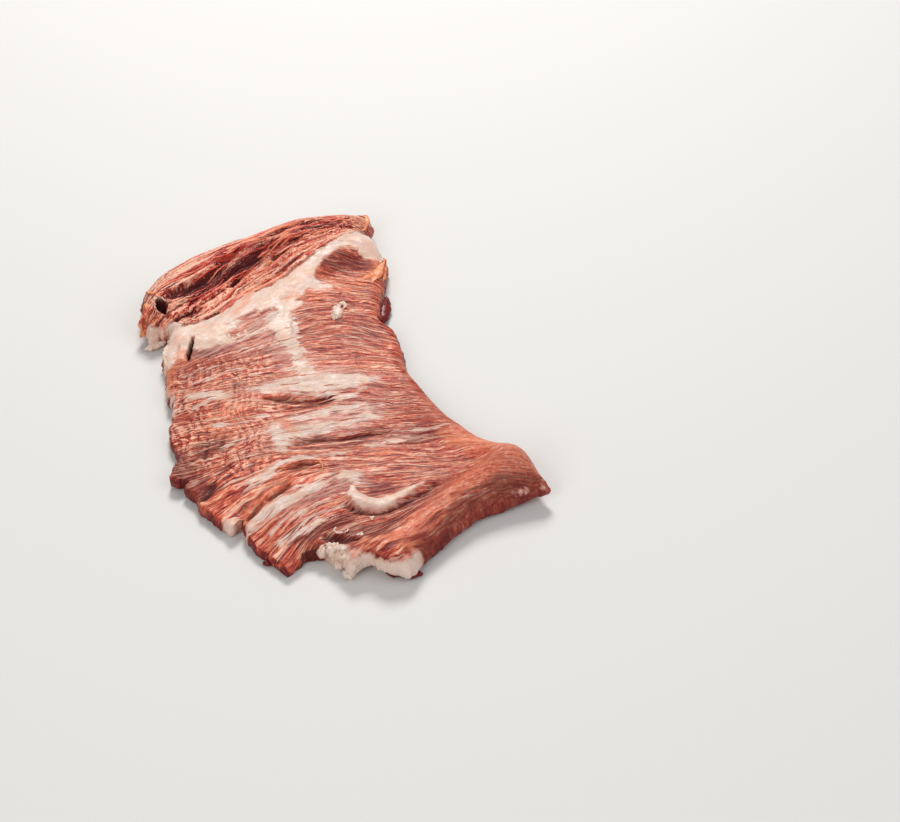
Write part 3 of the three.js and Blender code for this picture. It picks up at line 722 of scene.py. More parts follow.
def wall_places(grid, top, bottom, thickness):
    """Rows of places down the rim. Half a sine wave bulges them outwards, and two sizes of hills roughen
    them."""
    column, row = rim_order()
    rim = grid[row, column]
    ahead = np.roll(rim, -3, axis=0) - np.roll(rim, 3, axis=0)
    outward = np.column_stack((ahead[:, 1], -ahead[:, 0])) / np.linalg.norm(ahead, axis=1, keepdims=True)
    run = np.cumsum(np.linalg.norm(ahead, axis=1)) / 6
    walls = []
    for k in range(1, WALL_ROWS + 1):
        share = k / WALL_ROWS
        height = mix(top[row, column], bottom[row, column], share)
        swell = WALL_BULGE * thickness[row, column] * np.sin(np.pi * share)
        rough = 0.5 * hills(run / 1.5, height / 4.0, 61) + 0.45 * hills(run / 4.5, height / 2.2, 62)
        rough = rough * np.sin(np.pi * share)
        walls.append(np.column_stack((rim + outward * (swell + rough)[:, None], height)))
    return np.vstack(walls)


def inner_cells():
    """Grid rows and columns of the underside's places away from the rim."""
    rows, columns = np.arange(COARSE, ALONG, COARSE), np.arange(COARSE, ACROSS, COARSE)
    return tuple(np.meshgrid(rows, columns, indexing="ij"))


def squares(*corners):
    """Four-sided faces from four grids of place numbers."""
    return np.stack(corners, -1).reshape(-1, 4).tolist()


def skin_faces():
    """The faces of the upper side, of the rows round the rim, and of the underside."""
    column, row = rim_order()
    upper = np.arange((ALONG + 1) * (ACROSS + 1)).reshape(ALONG + 1, ACROSS + 1)
    walls = upper.size + np.arange(WALL_ROWS * len(column)).reshape(WALL_ROWS, len(column))
    rings = np.vstack((upper[row, column], walls))
    inner = inner_cells()
    lower = np.full(upper.shape, -1)
    lower[inner] = upper.size + walls.size + np.arange(inner[0].size).reshape(inner[0].shape)
    lower[row, column] = rings[-1]
    after = np.roll(rings, -1, axis=1)
    top_faces = squares(upper[:-1, :-1], upper[1:, :-1], upper[1:, 1:], upper[:-1, 1:])
    wall_faces = squares(rings[:-1], rings[1:], after[1:], after[:-1])
    return top_faces + wall_faces + underside_faces(lower)


def slab_skin():
    """The slab as one closed skin: places, faces, the field values at each place, and the upper side."""
    grid = plan_grid()
    top, bottom, thickness, g = surface_heights(grid)
    column, row = rim_order()
    inner = inner_cells()
    upper = np.dstack((grid, top)).reshape(-1, 3)
    lower = np.column_stack((grid[inner].reshape(-1, 2), bottom[inner].ravel()))
    places = np.vstack((upper, wall_places(grid, top, bottom, thickness), lower))

    def spread(field):
        return np.concatenate((field.ravel(), np.tile(field[row, column], WALL_ROWS), field[inner].ravel()))

    fields = {name: spread(g[name]) for name in SKIN_FIELDS}
    fields["cut"] = np.concatenate((g["sheer"].ravel(), np.ones(len(places) - len(upper))))
    down = np.repeat(np.arange(1, WALL_ROWS + 1) / WALL_ROWS, len(column))
    thinning = 3.0 * down * np.tile(1 - rim_squareness(), WALL_ROWS)
    walls = slice(len(upper), len(upper) + len(down))
    fields["sheet"][walls] -= 0.4 * thinning
    fields["streak"][walls] -= thinning + 0.5
    x, y, z = places.T
    low = LIP_FAT["top"] - z + 0.8 * hills(x / 3, y / 3, 63)
    fields["sheet"] = np.maximum(fields["sheet"], np.minimum(inside_stroke(x, y, LIP_FAT["stroke"]), low))
    return places, skin_faces(), fields, upper


def underside_faces(lower_id):
    """Squares of COARSE grid steps, wound to face down. Along the rim each takes in all of the rim's places,
    so that the skin closes."""
    rows, columns = np.arange(0, ALONG, COARSE), np.arange(0, ACROSS, COARSE)
    cell_row, cell_column = np.meshgrid(rows, columns, indexing="ij")
    steps = np.arange(COARSE)
    zero, full = np.zeros(COARSE, int), np.full(COARSE, COARSE)
    down = np.concatenate((steps, full, COARSE - steps, zero))
    over = np.concatenate((zero, steps, full, COARSE - steps))
    around = lower_id[cell_row[..., None] + down, cell_column[..., None] + over].reshape(-1, 4 * COARSE)
    return [ring[ring >= 0][::-1].tolist() for ring in around]


# Materials
class Shader:
    """A material's node tree, with short ways to add the nodes that this scene uses."""

    def __init__(self, name):
        self.material = bpy.data.materials.new(name)
        self.material.use_nodes = True
        self.tree = self.material.node_tree
        self.surface = self.tree.nodes["Principled BSDF"]

    def put(self, socket, value):
        if isinstance(value, bpy.types.NodeSocket):
            self.tree.links.new(value, socket)
        else:
            socket.default_value = value

    def field(self, name):
        node = self.tree.nodes.new("ShaderNodeAttribute")
        node.attribute_name = name
        return node.outputs["Fac"]

    def place(self):
        return self.tree.nodes.new("ShaderNodeTexCoord").outputs["Object"]

    def vector(self, x, y, z):
        node = self.tree.nodes.new("ShaderNodeCombineXYZ")
        for socket, value in zip(node.inputs, (x, y, z)):
            self.put(socket, value)
        return node.outputs[0]

    def math(self, kind, a, b=0.0):
        node = self.tree.nodes.new("ShaderNodeMath")
        node.operation = kind
        for socket, value in zip(node.inputs, (a, b)):
            self.put(socket, value)
        return node.outputs[0]

    def plus(self, a, b):
        return self.math("ADD", a, b)

    def minus(self, a, b):
        return self.math("SUBTRACT", a, b)

    def times(self, a, b):
        return self.math("MULTIPLY", a, b)

    def larger(self, a, b):
        return self.math("MAXIMUM", a, b)

    def wave(self, value):
        """The size of sin(pi value): zero at whole numbers, one halfway between them."""
        return self.math("ABSOLUTE", self.math("SINE", self.times(value, np.pi)))

    def noise(self, vector, scale, detail=2.0, roughness=0.5):
        node = self.tree.nodes.new("ShaderNodeTexNoise")
        self.put(node.inputs["Vector"], vector)
        node.inputs["Scale"].default_value = scale
        node.inputs["Detail"].default_value = detail
        node.inputs["Roughness"].default_value = roughness
        return node.outputs["Fac"]

    def span(self, value, low, high, to_low=0.0, to_high=1.0):
        """value carried from low..high to to_low..to_high along an S curve, and held at the ends."""
        node = self.tree.nodes.new("ShaderNodeMapRange")
        node.interpolation_type = "SMOOTHSTEP"
        for socket, number in zip(node.inputs, (value, low, high, to_low, to_high)):
            self.put(socket, number)
        return node.outputs[0]

    def blend(self, share, a, b):
        """Colour a, with share of it replaced by colour b."""
        node = self.tree.nodes.new("ShaderNodeMix")
        node.data_type = "RGBA"
        self.put(node.inputs[0], share)
        self.put(node.inputs[6], a)
        self.put(node.inputs[7], b)
        return node.outputs[2]

    def blend_number(self, share, a, b):
        return self.plus(self.times(a, self.minus(1.0, share)), self.times(b, share))

    def bump(self, height, strength, distance):
        node = self.tree.nodes.new("ShaderNodeBump")
        node.inputs["Strength"].default_value = strength
        node.inputs["Distance"].default_value = distance
        self.put(node.inputs["Height"], height)
        return node.outputs[0]


def tint(red, green, blue):
    """A colour given as on a screen, 0 to 255, made linear: ((c + 0.055) / 1.055) to the power 2.4."""
    screen = np.array((red, green, blue)) / 255
    linear = np.where(screen <= 0.04045, screen / 12.92, ((screen + 0.055) / 1.055) ** 2.4)
    return (*linear.tolist(), 1.0)


LEAN = {
    "deep": tint(116, 26, 21), "middle": tint(190, 75, 55), "light": tint(232, 130, 97),
    "thread": tint(244, 198, 172),
}
ROPE = {
    "deep": tint(90, 7, 11), "middle": tint(202, 64, 50), "light": tint(246, 135, 102),
    "thread": tint(252, 196, 168),
}
DRIED = {
    "deep": tint(176, 76, 48), "middle": tint(230, 134, 90), "light": tint(246, 172, 126),
    "thread": tint(252, 206, 170),
}
FAT_THIN = tint(228, 170, 152)
SHRED = {
    "deep": tint(66, 8, 10), "middle": tint(122, 26, 24), "light": tint(152, 48, 40),
    "thread": tint(176, 84, 70),
}
FAT_WHITE = tint(233, 210, 198)
FAT_CREAM = tint(226, 193, 171)
SKIN_GREY = tint(218, 172, 160)
SHADE_RED = tint(72, 12, 12)
PURPLE_BROWN = tint(102, 30, 30)
RIM_ORANGE = tint(234, 140, 100)
WET = {
    "Subsurface Weight": 0.12, "Subsurface Radius": (0.0028, 0.0011, 0.0007), "Subsurface Scale": 1.0,
    "IOR": 1.4, "Specular IOR Level": 0.36, "Coat Weight": 0.07, "Coat Roughness": 0.18,
}


def moist(s, roughness):
    """The gloss and the soft light that all moist tissue here has."""
    s.put(s.surface.inputs["Roughness"], roughness)
    for name, value in WET.items():
        s.surface.inputs[name].default_value = value


def streaked(s, value, palette):
    """Four colours of lean meat, laid from deep red to pale thread as value rises."""
    colour = s.blend(s.span(value, -0.75, 0.05), palette["deep"], palette["middle"])
    colour = s.blend(s.span(value, 0.0, 0.6), colour, palette["light"])
    return s.blend(s.span(value, 0.55, 1.1), colour, palette["thread"])


def centred(s, value, scale):
    """Noise, which lies about one half, made to lie about zero with the given spread."""
    return s.times(s.minus(value, 0.5), scale)


def bundle_noise(s, skin, stretch, pitch, layer, detail=2.0, roughness=0.5):
    """Noise laid on the bundles: stretch is how fast it changes along them, pitch across them."""
    place = s.vector(s.times(skin["along"], stretch), s.times(skin["phase"], pitch), layer)
    return s.noise(place, 1.0, detail, roughness)


def layered_noise(s, place):
    """Noise in flat lying cells, for the cut side of the slab."""
    layered = s.tree.nodes.new("ShaderNodeMapping")
    layered.inputs["Scale"].default_value = (400.0, 400.0, 170.0)
    s.put(layered.inputs["Vector"], place)
    return s.noise(layered.outputs[0], 1.0, 3.0, 0.6)


def skin_values(s):
    """What the skin's colours are worked out from: the fields of the mesh, and noise of several sizes."""
    skin = {name: s.field(name) for name in (*SKIN_FIELDS, "cut")}
    skin["place"] = s.place()
    skin["coarse"] = bundle_noise(s, skin, 0.07, 1.4, 0.0)
    skin["fine"] = bundle_noise(s, skin, 0.13, 3.6, 4.0, roughness=0.6)
    skin["finest"] = bundle_noise(s, skin, 0.3, 8.0, 9.0, detail=1.0)
    skin["mottle"] = s.noise(skin["place"], 140.0, 3.0, 0.6)
    skin["cells"] = layered_noise(s, skin["place"])
    skin["crest"] = s.wave(skin["phase"])
    skin["sunk"] = s.times(skin["hollow"], skin["strip"])
    return skin


def lean_value(s, skin):
    """How pale the lean meat is: streaks on the bundles, a painted highlight along their crests with painted
    shade in the grooves between them, cells where the slab is cut, and all of it weaker where the meat is calm."""
    cut, calm = skin["cut"], skin["calm"]
    value = s.plus(centred(s, skin["coarse"], 2.3), centred(s, skin["fine"], 3.2))
    value = s.plus(value, centred(s, skin["finest"], 3.4))
    value = s.plus(value, s.times(skin["tone"], 0.5))
    # painted highlight on the bundles' crests and painted shade in the grooves between them
    rise = s.times(s.minus(skin["crest"], 0.55), skin["clear"])
    value = s.plus(value, s.times(rise, 0.8))
    value = s.plus(s.times(value, s.minus(1.0, cut)), s.times(centred(s, skin["cells"], 6.0), cut))
    value = s.minus(s.plus(value, centred(s, skin["mottle"], 0.9)), s.times(cut, 0.7))
    value = s.times(value, s.minus(1.0, s.times(calm, 0.62)))
    return s.plus(value, s.times(calm, 0.46))


def add_hatching(s, skin, value):
    """Cross furrows on the left with painted shade in them and a painted highlight on their crests, a woven
    roughness there, and short dashes all over.
    """
    hatch = skin["hatch"]
    column = s.wave(skin["column"])
    # painted shade in the cross furrows, then a painted highlight on their crests
    value = s.minus(value, s.times(s.times(s.span(column, 0.28, 0.04), hatch), 1.1))
    value = s.plus(value, s.times(s.span(column, 0.86, 0.98), s.times(hatch, 0.45)))
    woven = s.vector(s.times(skin["column"], 2.6), s.times(skin["phase"], 1.9), 6.0)
    value = s.plus(value, s.times(centred(s, s.noise(woven, 1.0, 2.0, 0.6), 4.2), hatch))
    dashes = centred(s, s.noise(skin["place"], 620.0, 2.0, 0.6), 3.6)
    dotted = s.plus(s.plus(s.times(hatch, 0.3), 0.3), s.times(skin["strip"], 0.35))
    return s.plus(value, s.times(dashes, dotted))


def add_strip(s, skin, value):
    """The strip's chopped strands, with painted shade in its hollows and along its crest, and painted light on its
    two slopes.
    """
    strip = skin["strip"]
    chopped = centred(s, bundle_noise(s, skin, 0.55, 4.6, 12.0, 3.0, 0.7), 8.0)
    value = s.plus(value, s.times(s.plus(chopped, 0.4), strip))
    # painted shade in the strip's hollows
    value = s.minus(value, s.times(skin["sunk"], 1.3))
    # painted light on the strip's two slopes, and painted shade along its crest between them
    far_slope = s.span(skin["rope"], 8.0, 18.0, 0.0, 0.55)
    low_slope = s.span(skin["rope"], 4.0, -4.0, 0.0, 0.45)
    lit = s.minus(s.plus(far_slope, low_slope), 0.2)
    return s.plus(value, s.times(lit, strip))


def lean_colour(s, skin, value):
    """The colours of the streaks, redder in the strip, with wide purple-brown and orange patches."""
    rope_red = s.times(skin["strip"], s.minus(1.0, s.times(skin["cut"], 0.5)))
    colour = s.blend(rope_red, streaked(s, value, LEAN), streaked(s, value, ROPE))
    wide = s.noise(skin["place"], 30.0, 2.0, 0.5)
    colour = s.blend(s.span(wide, 0.5, 0.72, 0.0, 0.32), colour, PURPLE_BROWN)
    return s.blend(s.span(wide, 0.48, 0.3, 0.0, 0.3), colour, RIM_ORANGE)


def thread_share(s, skin):
    """Where pale threads lie between bundles: broken up along them, and fewer on cut or calm meat."""
    beside = s.math("ABSOLUTE", s.minus(s.math("FRACT", skin["phase"]), 0.16))
    often = bundle_noise(s, skin, 0.05, 1.0, 2.0)
    broken = s.span(s.plus(often, s.times(skin["hatch"], 0.06)), 0.47, 0.6)
    thread = s.times(s.span(beside, 0.13, 0.03), s.times(broken, skin["clear"]))
    thread = s.times(thread, s.minus(0.8, s.times(s.larger(skin["cut"], skin["calm"]), 0.7)))
    return s.times(thread, s.minus(1.0, skin["sunk"]))


def shade_shares(s, skin):
    """How much painted shade lies in the strip's crevices and in the hollows, and how much purple-brown, which is
    partly painted shade.
    """
    fine, strip = skin["fine"], skin["strip"]
    # painted shade in the strip's crevices
    crevice = s.times(s.span(skin["crest"], 0.48, 0.08), s.times(strip, 0.8))
    # purple-brown meat, and painted shade along the strip's crease and on the roll's near side
    purple = s.times(skin["purple"], s.span(fine, 0.3, 0.7, 0.86, 0.5))
    # painted shade in the hollows
    dark = s.times(skin["hollow"], s.span(fine, 0.35, 0.65, 0.95, 0.6))
    return crevice, purple, s.times(dark, s.minus(1.0, s.times(strip, 0.3)))


def fat_edges(s, skin):
    """How far inside the fat each place is, with borders made ragged by the noise on the bundles: for the
    smooth sheets alone, and for all the fat."""
    cut = skin["cut"]
    ragged = s.plus(centred(s, skin["fine"], 6.0), centred(s, skin["finest"], 4.0))
    ragged = s.plus(ragged, centred(s, skin["coarse"], 5.0))
    still = s.larger(s.larger(cut, skin["calm"]), skin["strip"])
    ragged = s.times(ragged, s.minus(1.0, s.times(still, 0.8)))
    streaks = s.plus(skin["streak"], ragged)
    sheets = s.plus(skin["sheet"], s.plus(s.times(ragged, 0.12), centred(s, skin["mottle"], 2.5)))
    return sheets, s.plus(s.larger(streaks, sheets), s.times(centred(s, skin["cells"], 4.0), cut))


def lay_fat(s, skin, colour, edge):
    """Fat over the meat: thin and pink at its borders, white to cream inside, with a faint blush."""
    colour = s.blend(s.span(edge, -1.0, 0.3, 0.0, 0.75), colour, FAT_THIN)
    fat = s.blend(s.span(skin["mottle"], 0.35, 0.7), FAT_WHITE, FAT_CREAM)
    blush = s.span(s.noise(skin["place"], 90.0, 3.0, 0.6), 0.52, 0.74, 0.0, 0.5)
    fat = s.blend(blush, fat, FAT_THIN)
    return s.blend(s.span(edge, 0.0, 1.0, 0.0, 0.95), colour, fat)


def skin_height(s, skin, sheets):
    """Fine relief: noise on the bundles, cells where the slab is cut, both flatter on fat, and grit."""
    grit = s.noise(skin["place"], 1100.0, 2.0, 0.5)
    height = s.plus(s.blend_number(skin["cut"], skin["fine"], skin["cells"]), s.times(skin["finest"], 0.5))
    height = s.times(height, s.span(sheets, 0.0, 1.2, 1.0, 0.2))
    return s.plus(height, s.times(grit, s.plus(0.35, s.times(skin["strip"], 0.5))))


def raw_meat():
    """Lean meat, its painted shade, purple-brown places and threads, a see-through skin, fat, the orange rims,
    and painted shade in the slit and the torn hollow, in this order. The fields of the mesh say where each lies,
    and noise roughens them."""
    s = Shader("raw_meat")
    skin = skin_values(s)
    value = add_strip(s, skin, add_hatching(s, skin, lean_value(s, skin)))
    crevice, purple, dark = shade_shares(s, skin)
    colour = lean_colour(s, skin, value)
    # painted shade in the strip's crevices
    colour = s.blend(s.times(crevice, s.minus(1.0, skin["cut"])), colour, SHADE_RED)
    colour = s.blend(thread_share(s, skin), colour, LEAN["thread"])
    # purple-brown meat, partly painted shade on the strip's crease and the roll's near side
    colour = s.blend(purple, colour, PURPLE_BROWN)
    veil = s.times(skin["haze"], s.span(skin["coarse"], 0.35, 0.65, 0.25, 0.85))
    colour = s.blend(veil, colour, SKIN_GREY)
    # painted shade in the hollows
    colour = s.blend(dark, colour, SHADE_RED)
    sheets, edge = fat_edges(s, skin)
    colour = lay_fat(s, skin, colour, edge)
    warm = s.times(skin["orange"], s.span(skin["coarse"], 0.35, 0.65, 0.25, 0.7))
    colour = s.blend(warm, colour, RIM_ORANGE)
    # painted shade inside the tail slit and the torn hollow
    s.put(s.surface.inputs["Base Color"], s.blend(skin["gap"], colour, SHADE_RED))
    dull = s.times(s.larger(dark, s.larger(crevice, purple)), 0.35)
    moist(s, s.plus(s.span(skin["mottle"], 0.3, 0.7, 0.3, 0.54), dull))
    s.put(s.surface.inputs["Normal"], s.bump(skin_height(s, skin, sheets), 0.85, 0.0009))
    return s.material


def fat_tissue(name, colour, shaded):
    """Loose fat: one colour that turns to a deeper one in soft patches, with a fine grainy skin."""
    s = Shader(name)
    place = s.place()
    patch = s.noise(place, 260.0, 3.0, 0.6)
    s.put(s.surface.inputs["Base Color"], s.blend(s.span(patch, 0.35, 0.7), colour, shaded))
    moist(s, 0.36)
    s.put(s.surface.inputs["Normal"], s.bump(s.noise(place, 900.0, 2.0, 0.5), 0.5, 0.0006))
    return s.material


def strand_meat(name, palette):
    """Torn strands: one tone for each, with fine streaks along it."""
    s = Shader(name)
    along, around, tone = s.field("along"), s.field("around"), s.field("tone")
    streak = s.noise(s.vector(s.times(along, 0.2), s.times(around, 3.0), tone), 1.0, 2.0)
    value = s.plus(s.times(tone, 1.1), centred(s, streak, 2.0))
    s.put(s.surface.inputs["Base Color"], streaked(s, value, palette))
    moist(s, 0.34)
    s.put(s.surface.inputs["Normal"], s.bump(streak, 0.5, 0.0006))
    return s.material


# Stage: camera, light and floor
CAMERA = {
    "distance": 973.5, "elevation": 0.676, "roll": -0.0338, "focal_px": 2200.0,
    "shift_right": 2.0, "shift_up": 15.34, "frame_px": 900.0,
}
FLOOR = {"reach": 3.0, "gap": 0.0002}


def set_camera():
    """The camera looks at the drawing's zero point from distance, raised by elevation and rolled, then is
    slid sideways and down so that the meat lies where it does in the photograph."""
    e, roll = CAMERA["elevation"], CAMERA["roll"]
    back = Vector((0, -np.cos(e), np.sin(e)))
    level_up = Vector((0, np.sin(e), np.cos(e)))
    level_right = Vector((1, 0, 0))
    right = level_right * np.cos(roll) + level_up * np.sin(roll)
    up = level_up * np.cos(roll) - level_right * np.sin(roll)
    spot = back * CAMERA["distance"] - right * CAMERA["shift_right"] - up * CAMERA["shift_up"]
    spot = (spot - Vector((MIDDLE[0], MIDDLE[1], 0))) * DRAWING_TO_METRES
    data = bpy.data.cameras.new("camera")
    data.sensor_width = 36.0
    data.lens = CAMERA["focal_px"] / CAMERA["frame_px"] * data.sensor_width
    camera = bpy.data.objects.new("camera", data)
    camera.matrix_world = Matrix((right, up, back)).transposed().to_4x4()
    camera.location = spot
    bpy.context.scene.collection.objects.link(camera)
    bpy.context.scene.camera = camera


def add_light(name, spot, size, power, colour):
    """A square soft box at spot, in metres, that faces the meat."""
    data = bpy.data.lights.new(name, "AREA")
    data.shape = "SQUARE"
    data.size = size
    data.energy = power
    data.color = colour
    light = bpy.data.objects.new(name, data)
    light.location = spot
    light.rotation_euler = (-Vector(spot)).to_track_quat("-Z", "Y").to_euler()
    bpy.context.scene.collection.objects.link(light)


def set_light():
    add_light("key_light", (0.0, 0.9, 1.0), 0.4, 13.8, (1.0, 0.96, 0.91))
    add_light("fill_light", (0.9, -0.5, 0.9), 0.9, 3.8, (0.97, 0.98, 1.0))
    add_light("front_light", (-0.5, -1.0, 0.8), 0.8, 6.4, (1.0, 0.98, 0.95))
    world = bpy.data.worlds.new("studio")
    world.use_nodes = True
    world.node_tree.nodes["Background"].inputs["Color"].default_value = (0.95, 0.97, 1.0, 1)
    world.node_tree.nodes["Background"].inputs["Strength"].default_value = 0.3
    bpy.context.scene.world = world
    bpy.context.scene.view_settings.view_transform = "Standard"


def set_floor():
    """A pale plain floor just under the meat."""
    shader = Shader("pale_floor")
    shader.put(shader.surface.inputs["Base Color"], (0.72, 0.72, 0.71, 1))
    shader.surface.inputs["Roughness"].default_value = 0.7
    reach, low = FLOOR["reach"], -FLOOR["gap"]
    corners = [(-reach, -reach, low), (reach, -reach, low), (reach, reach, low), (-reach, reach, low)]
    mesh = bpy.data.meshes.new("floor")
    mesh.from_pydata(corners, [], [(0, 1, 2, 3)])
    mesh.materials.append(shader.material)
    floor = bpy.data.objects.new("floor", mesh)
    bpy.context.scene.collection.objects.link(floor)


class Ground:
    """The slab's upper side as a height map with square cells of one millimetre."""

    def __init__(self, upper):
        self.start = np.floor(upper[:, :2].min(axis=0)) - 3
        cell = np.round(upper[:, :2] - self.start).astype(int)
        size = cell.max(axis=0) + 4
        total, count = np.zeros(size), np.zeros(size)
        np.add.at(total, (cell[:, 0], cell[:, 1]), upper[:, 2])
        np.add.at(count, (cell[:, 0], cell[:, 1]), 1)
        self.height = total / np.maximum(count, 1)

    def at(self, x, y):
        """Height at any place, blended from the four cells around it."""
        u = np.clip(x - self.start[0], 0, self.height.shape[0] - 2.001)
        v = np.clip(y - self.start[1], 0, self.height.shape[1] - 2.001)
        i, j = u.astype(int), v.astype(int)
        low = mix(self.height[i, j], self.height[i + 1, j], u - i)
        high = mix(self.height[i, j + 1], self.height[i + 1, j + 1], u - i)
        return mix(low, high, v - j)


def tubes(paths, radii, flat, sides):
    """Strands with pointed ends, one along each path. Round the path at p, with s to its side and u up, the
    skin is p + r (s cos a + flat u sin a), and each end closes in a point. Also gives the faces, the place
    along each strand in millimetres and the angle a."""
    count, steps = paths.shape[:2]
    ahead = np.gradient(paths, axis=1)
    ahead = ahead / np.linalg.norm(ahead, axis=2, keepdims=True)
    sideways = np.cross(ahead, (0, 0, 1.0))
    sideways = sideways / np.linalg.norm(sideways, axis=2, keepdims=True)
    upward = np.cross(sideways, ahead)
    angle = np.arange(sides) * 2 * np.pi / sides
    ring = sideways[:, :, None] * np.cos(angle)[None, None, :, None]
    ring = ring + flat * upward[:, :, None] * np.sin(angle)[None, None, :, None]
    skin = paths[:, :, None] + radii[:, :, None, None] * ring
    body = skin.reshape(-1, 3)
    tips = paths[:, (0, -1)].reshape(-1, 3)
    first = np.arange(count)[:, None, None] * steps * sides
    a = first + np.arange(steps - 1)[None, :, None] * sides + np.arange(sides)[None, None]
    b = first + np.arange(steps - 1)[None, :, None] * sides + ((np.arange(sides) + 1) % sides)[None, None]
    quads = np.stack((a, b, b + sides, a + sides), -1).reshape(-1, 4)
    start = len(body) + 2 * np.arange(count)[:, None]
    near = np.stack((a[:, 0] * 0 + start, b[:, 0], a[:, 0]), -1).reshape(-1, 3)
    far = np.stack((a[:, -1] * 0 + start + 1, a[:, -1] + sides, b[:, -1] + sides), -1).reshape(-1, 3)
    stride = np.linalg.norm(np.diff(paths, axis=1), axis=2)
    run = np.concatenate((np.zeros((count, 1)), np.cumsum(stride, axis=1)), 1)
    along = np.concatenate((np.repeat(run, sides, axis=1).ravel(), run[:, (0, -1)].ravel()))
    around = np.concatenate((np.tile(angle, count * steps), np.zeros(2 * count)))
    return np.vstack((body, tips)), quads.tolist() + near.tolist() + far.tolist(), along, around


def lay_strands(name, ground, guides, material, plan, seed):
    """Loose strands lying between the fibre guide lines. Each follows the blend of two neighbouring guides
    for part of their length, wanders a little, dives in at its ends, and is thickest in its middle."""
    random = np.random.default_rng(seed)
    count, steps = plan["count"], plan["steps"]
    curves = np.array([curve(line, 60) for _, line in guides])
    pick = random.integers(0, len(curves) - 1, count)
    side = random.uniform(0, 1, count)[:, None, None]
    lane = mix(curves[pick], curves[pick + 1], side)
    length = np.linalg.norm(np.diff(lane, axis=1), axis=2).sum(axis=1)
    part = np.clip(random.uniform(*plan["length"], count) / length, 0, 0.95)
    begin = random.uniform(0, 1, count) * (1 - part)
    share = np.linspace(0, 1, steps)
    stops = (begin[:, None] + part[:, None] * share) * 60
    low = np.minimum(stops.astype(int), 59)
    each = np.arange(count)[:, None]
    path = mix(lane[each, low], lane[each, low + 1], (stops - low)[..., None])
    sway = hills(stops * length[:, None] / 60 / plan["sway_length"], each * 1.7 + 0.5, seed + 1)
    ahead = np.gradient(path, axis=1)
    across = np.stack((-ahead[..., 1], ahead[..., 0]), -1) / np.linalg.norm(ahead, axis=2, keepdims=True)
    path = path + plan["sway"] * sway[..., None] * across
    radius = random.uniform(*plan["radius"], count)[:, None] * (np.sin(np.pi * share) ** 0.35 + 0.02)[None]
    height = ground.at(path[..., 0], path[..., 1])
    height = height - 1.4 * radius * (1 - np.sin(np.pi * share) ** 0.3)
    paths = np.dstack((path, height))
    places, faces, along, around = tubes(paths, radius, plan["flat"], plan["sides"])
    value = np.array([level for level, _ in guides])
    level = mix(value[pick], value[pick + 1], side[:, 0, 0])
    # Painted shade: strands that lie near the strip's crease, at the given fibre level, are made darker.
    tone = random.normal(plan["tone"], 0.45, count) - plan["crease_shade"] * bell(level - plan["crease_shade_level"], 6.0)
    tones = np.concatenate((np.repeat(tone, steps * plan["sides"]), np.repeat(tone, 2)))
    return make_piece(name, places, faces, material, {"along": along, "around": around, "tone": tones})


ROPE_PLAN = {
    "count": 150, "steps": 36, "sides": 8, "length": (8, 36), "radius": (0.35, 0.95), "flat": 0.6,
    "sway": 0.9, "sway_length": 12, "tone": 0.45, "crease_shade": 0.6, "crease_shade_level": 8.0,
}
THREAD_PLAN = {
    "count": 120, "steps": 24, "sides": 6, "length": (5, 22), "radius": (0.14, 0.3), "flat": 0.6,
    "sway": 0.9, "sway_length": 8, "tone": 0.55, "crease_shade": 0.0, "crease_shade_level": 0.0,
}
# Small loose parts. Those laid on the meat give the rise over its surface, the others the height over the
# table: place, height, radius
CREAM_ON_MEAT = {
    "fleck": (
        (-53.2, 42.4, 0.2, 0.9), (-52.4, 39.5, 0.5, 1.8), (-51.9, 36, 0.4, 2.0), (-52.7, 32.6, 0, 0.9),
    ),
    "fleck_side": ((-54.2, 38.8, 0, 0.7), (-53.7, 35.6, 0.4, 1.3), (-53.4, 32.4, 0, 0.7)),
    "fleck_loop": (
        (-52, 40, 0.3, 1.1), (-51, 43, 0.8, 0.8), (-49.4, 43.8, 1.0, 0.8), (-48.6, 41.8, 0.8, 0.8),
        (-49.4, 39.2, 0.2, 0.5),
    ),
    "curl": (
        (-50, -107, 0, 0.3), (-50.5, -110, 0.8, 0.4), (-48, -113, 1.2, 0.4), (-45, -111, 0.6, 0.35),
        (-45.5, -108, 0, 0.3),
    ),
    "speck_a": ((-36.6, -101.6, 0.1, 0.7), (-34.6, -102.6, 0.3, 0.9)),
    "speck_b": ((-41, -113.5, 0.2, 0.8), (-39, -115, 0.3, 1.1)),
    "lip_lump_a": ((-54, -116.5, -0.3, 0.8), (-51.5, -117.3, 0.2, 1.4), (-48.6, -118, 0, 1.2)),
    "lip_lump_b": ((-50.6, -120, -0.2, 1.0), (-47.5, -121.6, 0.3, 1.5), (-44.6, -122.2, 0, 1.1)),
    "lip_lump_c": ((-48, -123.8, -0.6, 0.9), (-46, -126, -0.2, 1.4), (-43.8, -128, -1, 0.9)),
    "flap_tip": ((-30.4, 82, 2.6, 0.15), (-31.6, 77.6, 2.5, 0.5), (-33, 73, 1.9, 0.4)),
    "flap_line": ((-36, 68, 0.8, 0.3), (-38.6, 65.6, 0.5, 0.5), (-41, 64.6, 0.1, 0.3)),
    "tail_edge": ((-127, 24, 0.2, 0.7), (-128, 17, 0.5, 0.9), (-128.2, 11, 0.4, 0.9), (-127, 5, 0, 0.6)),
}
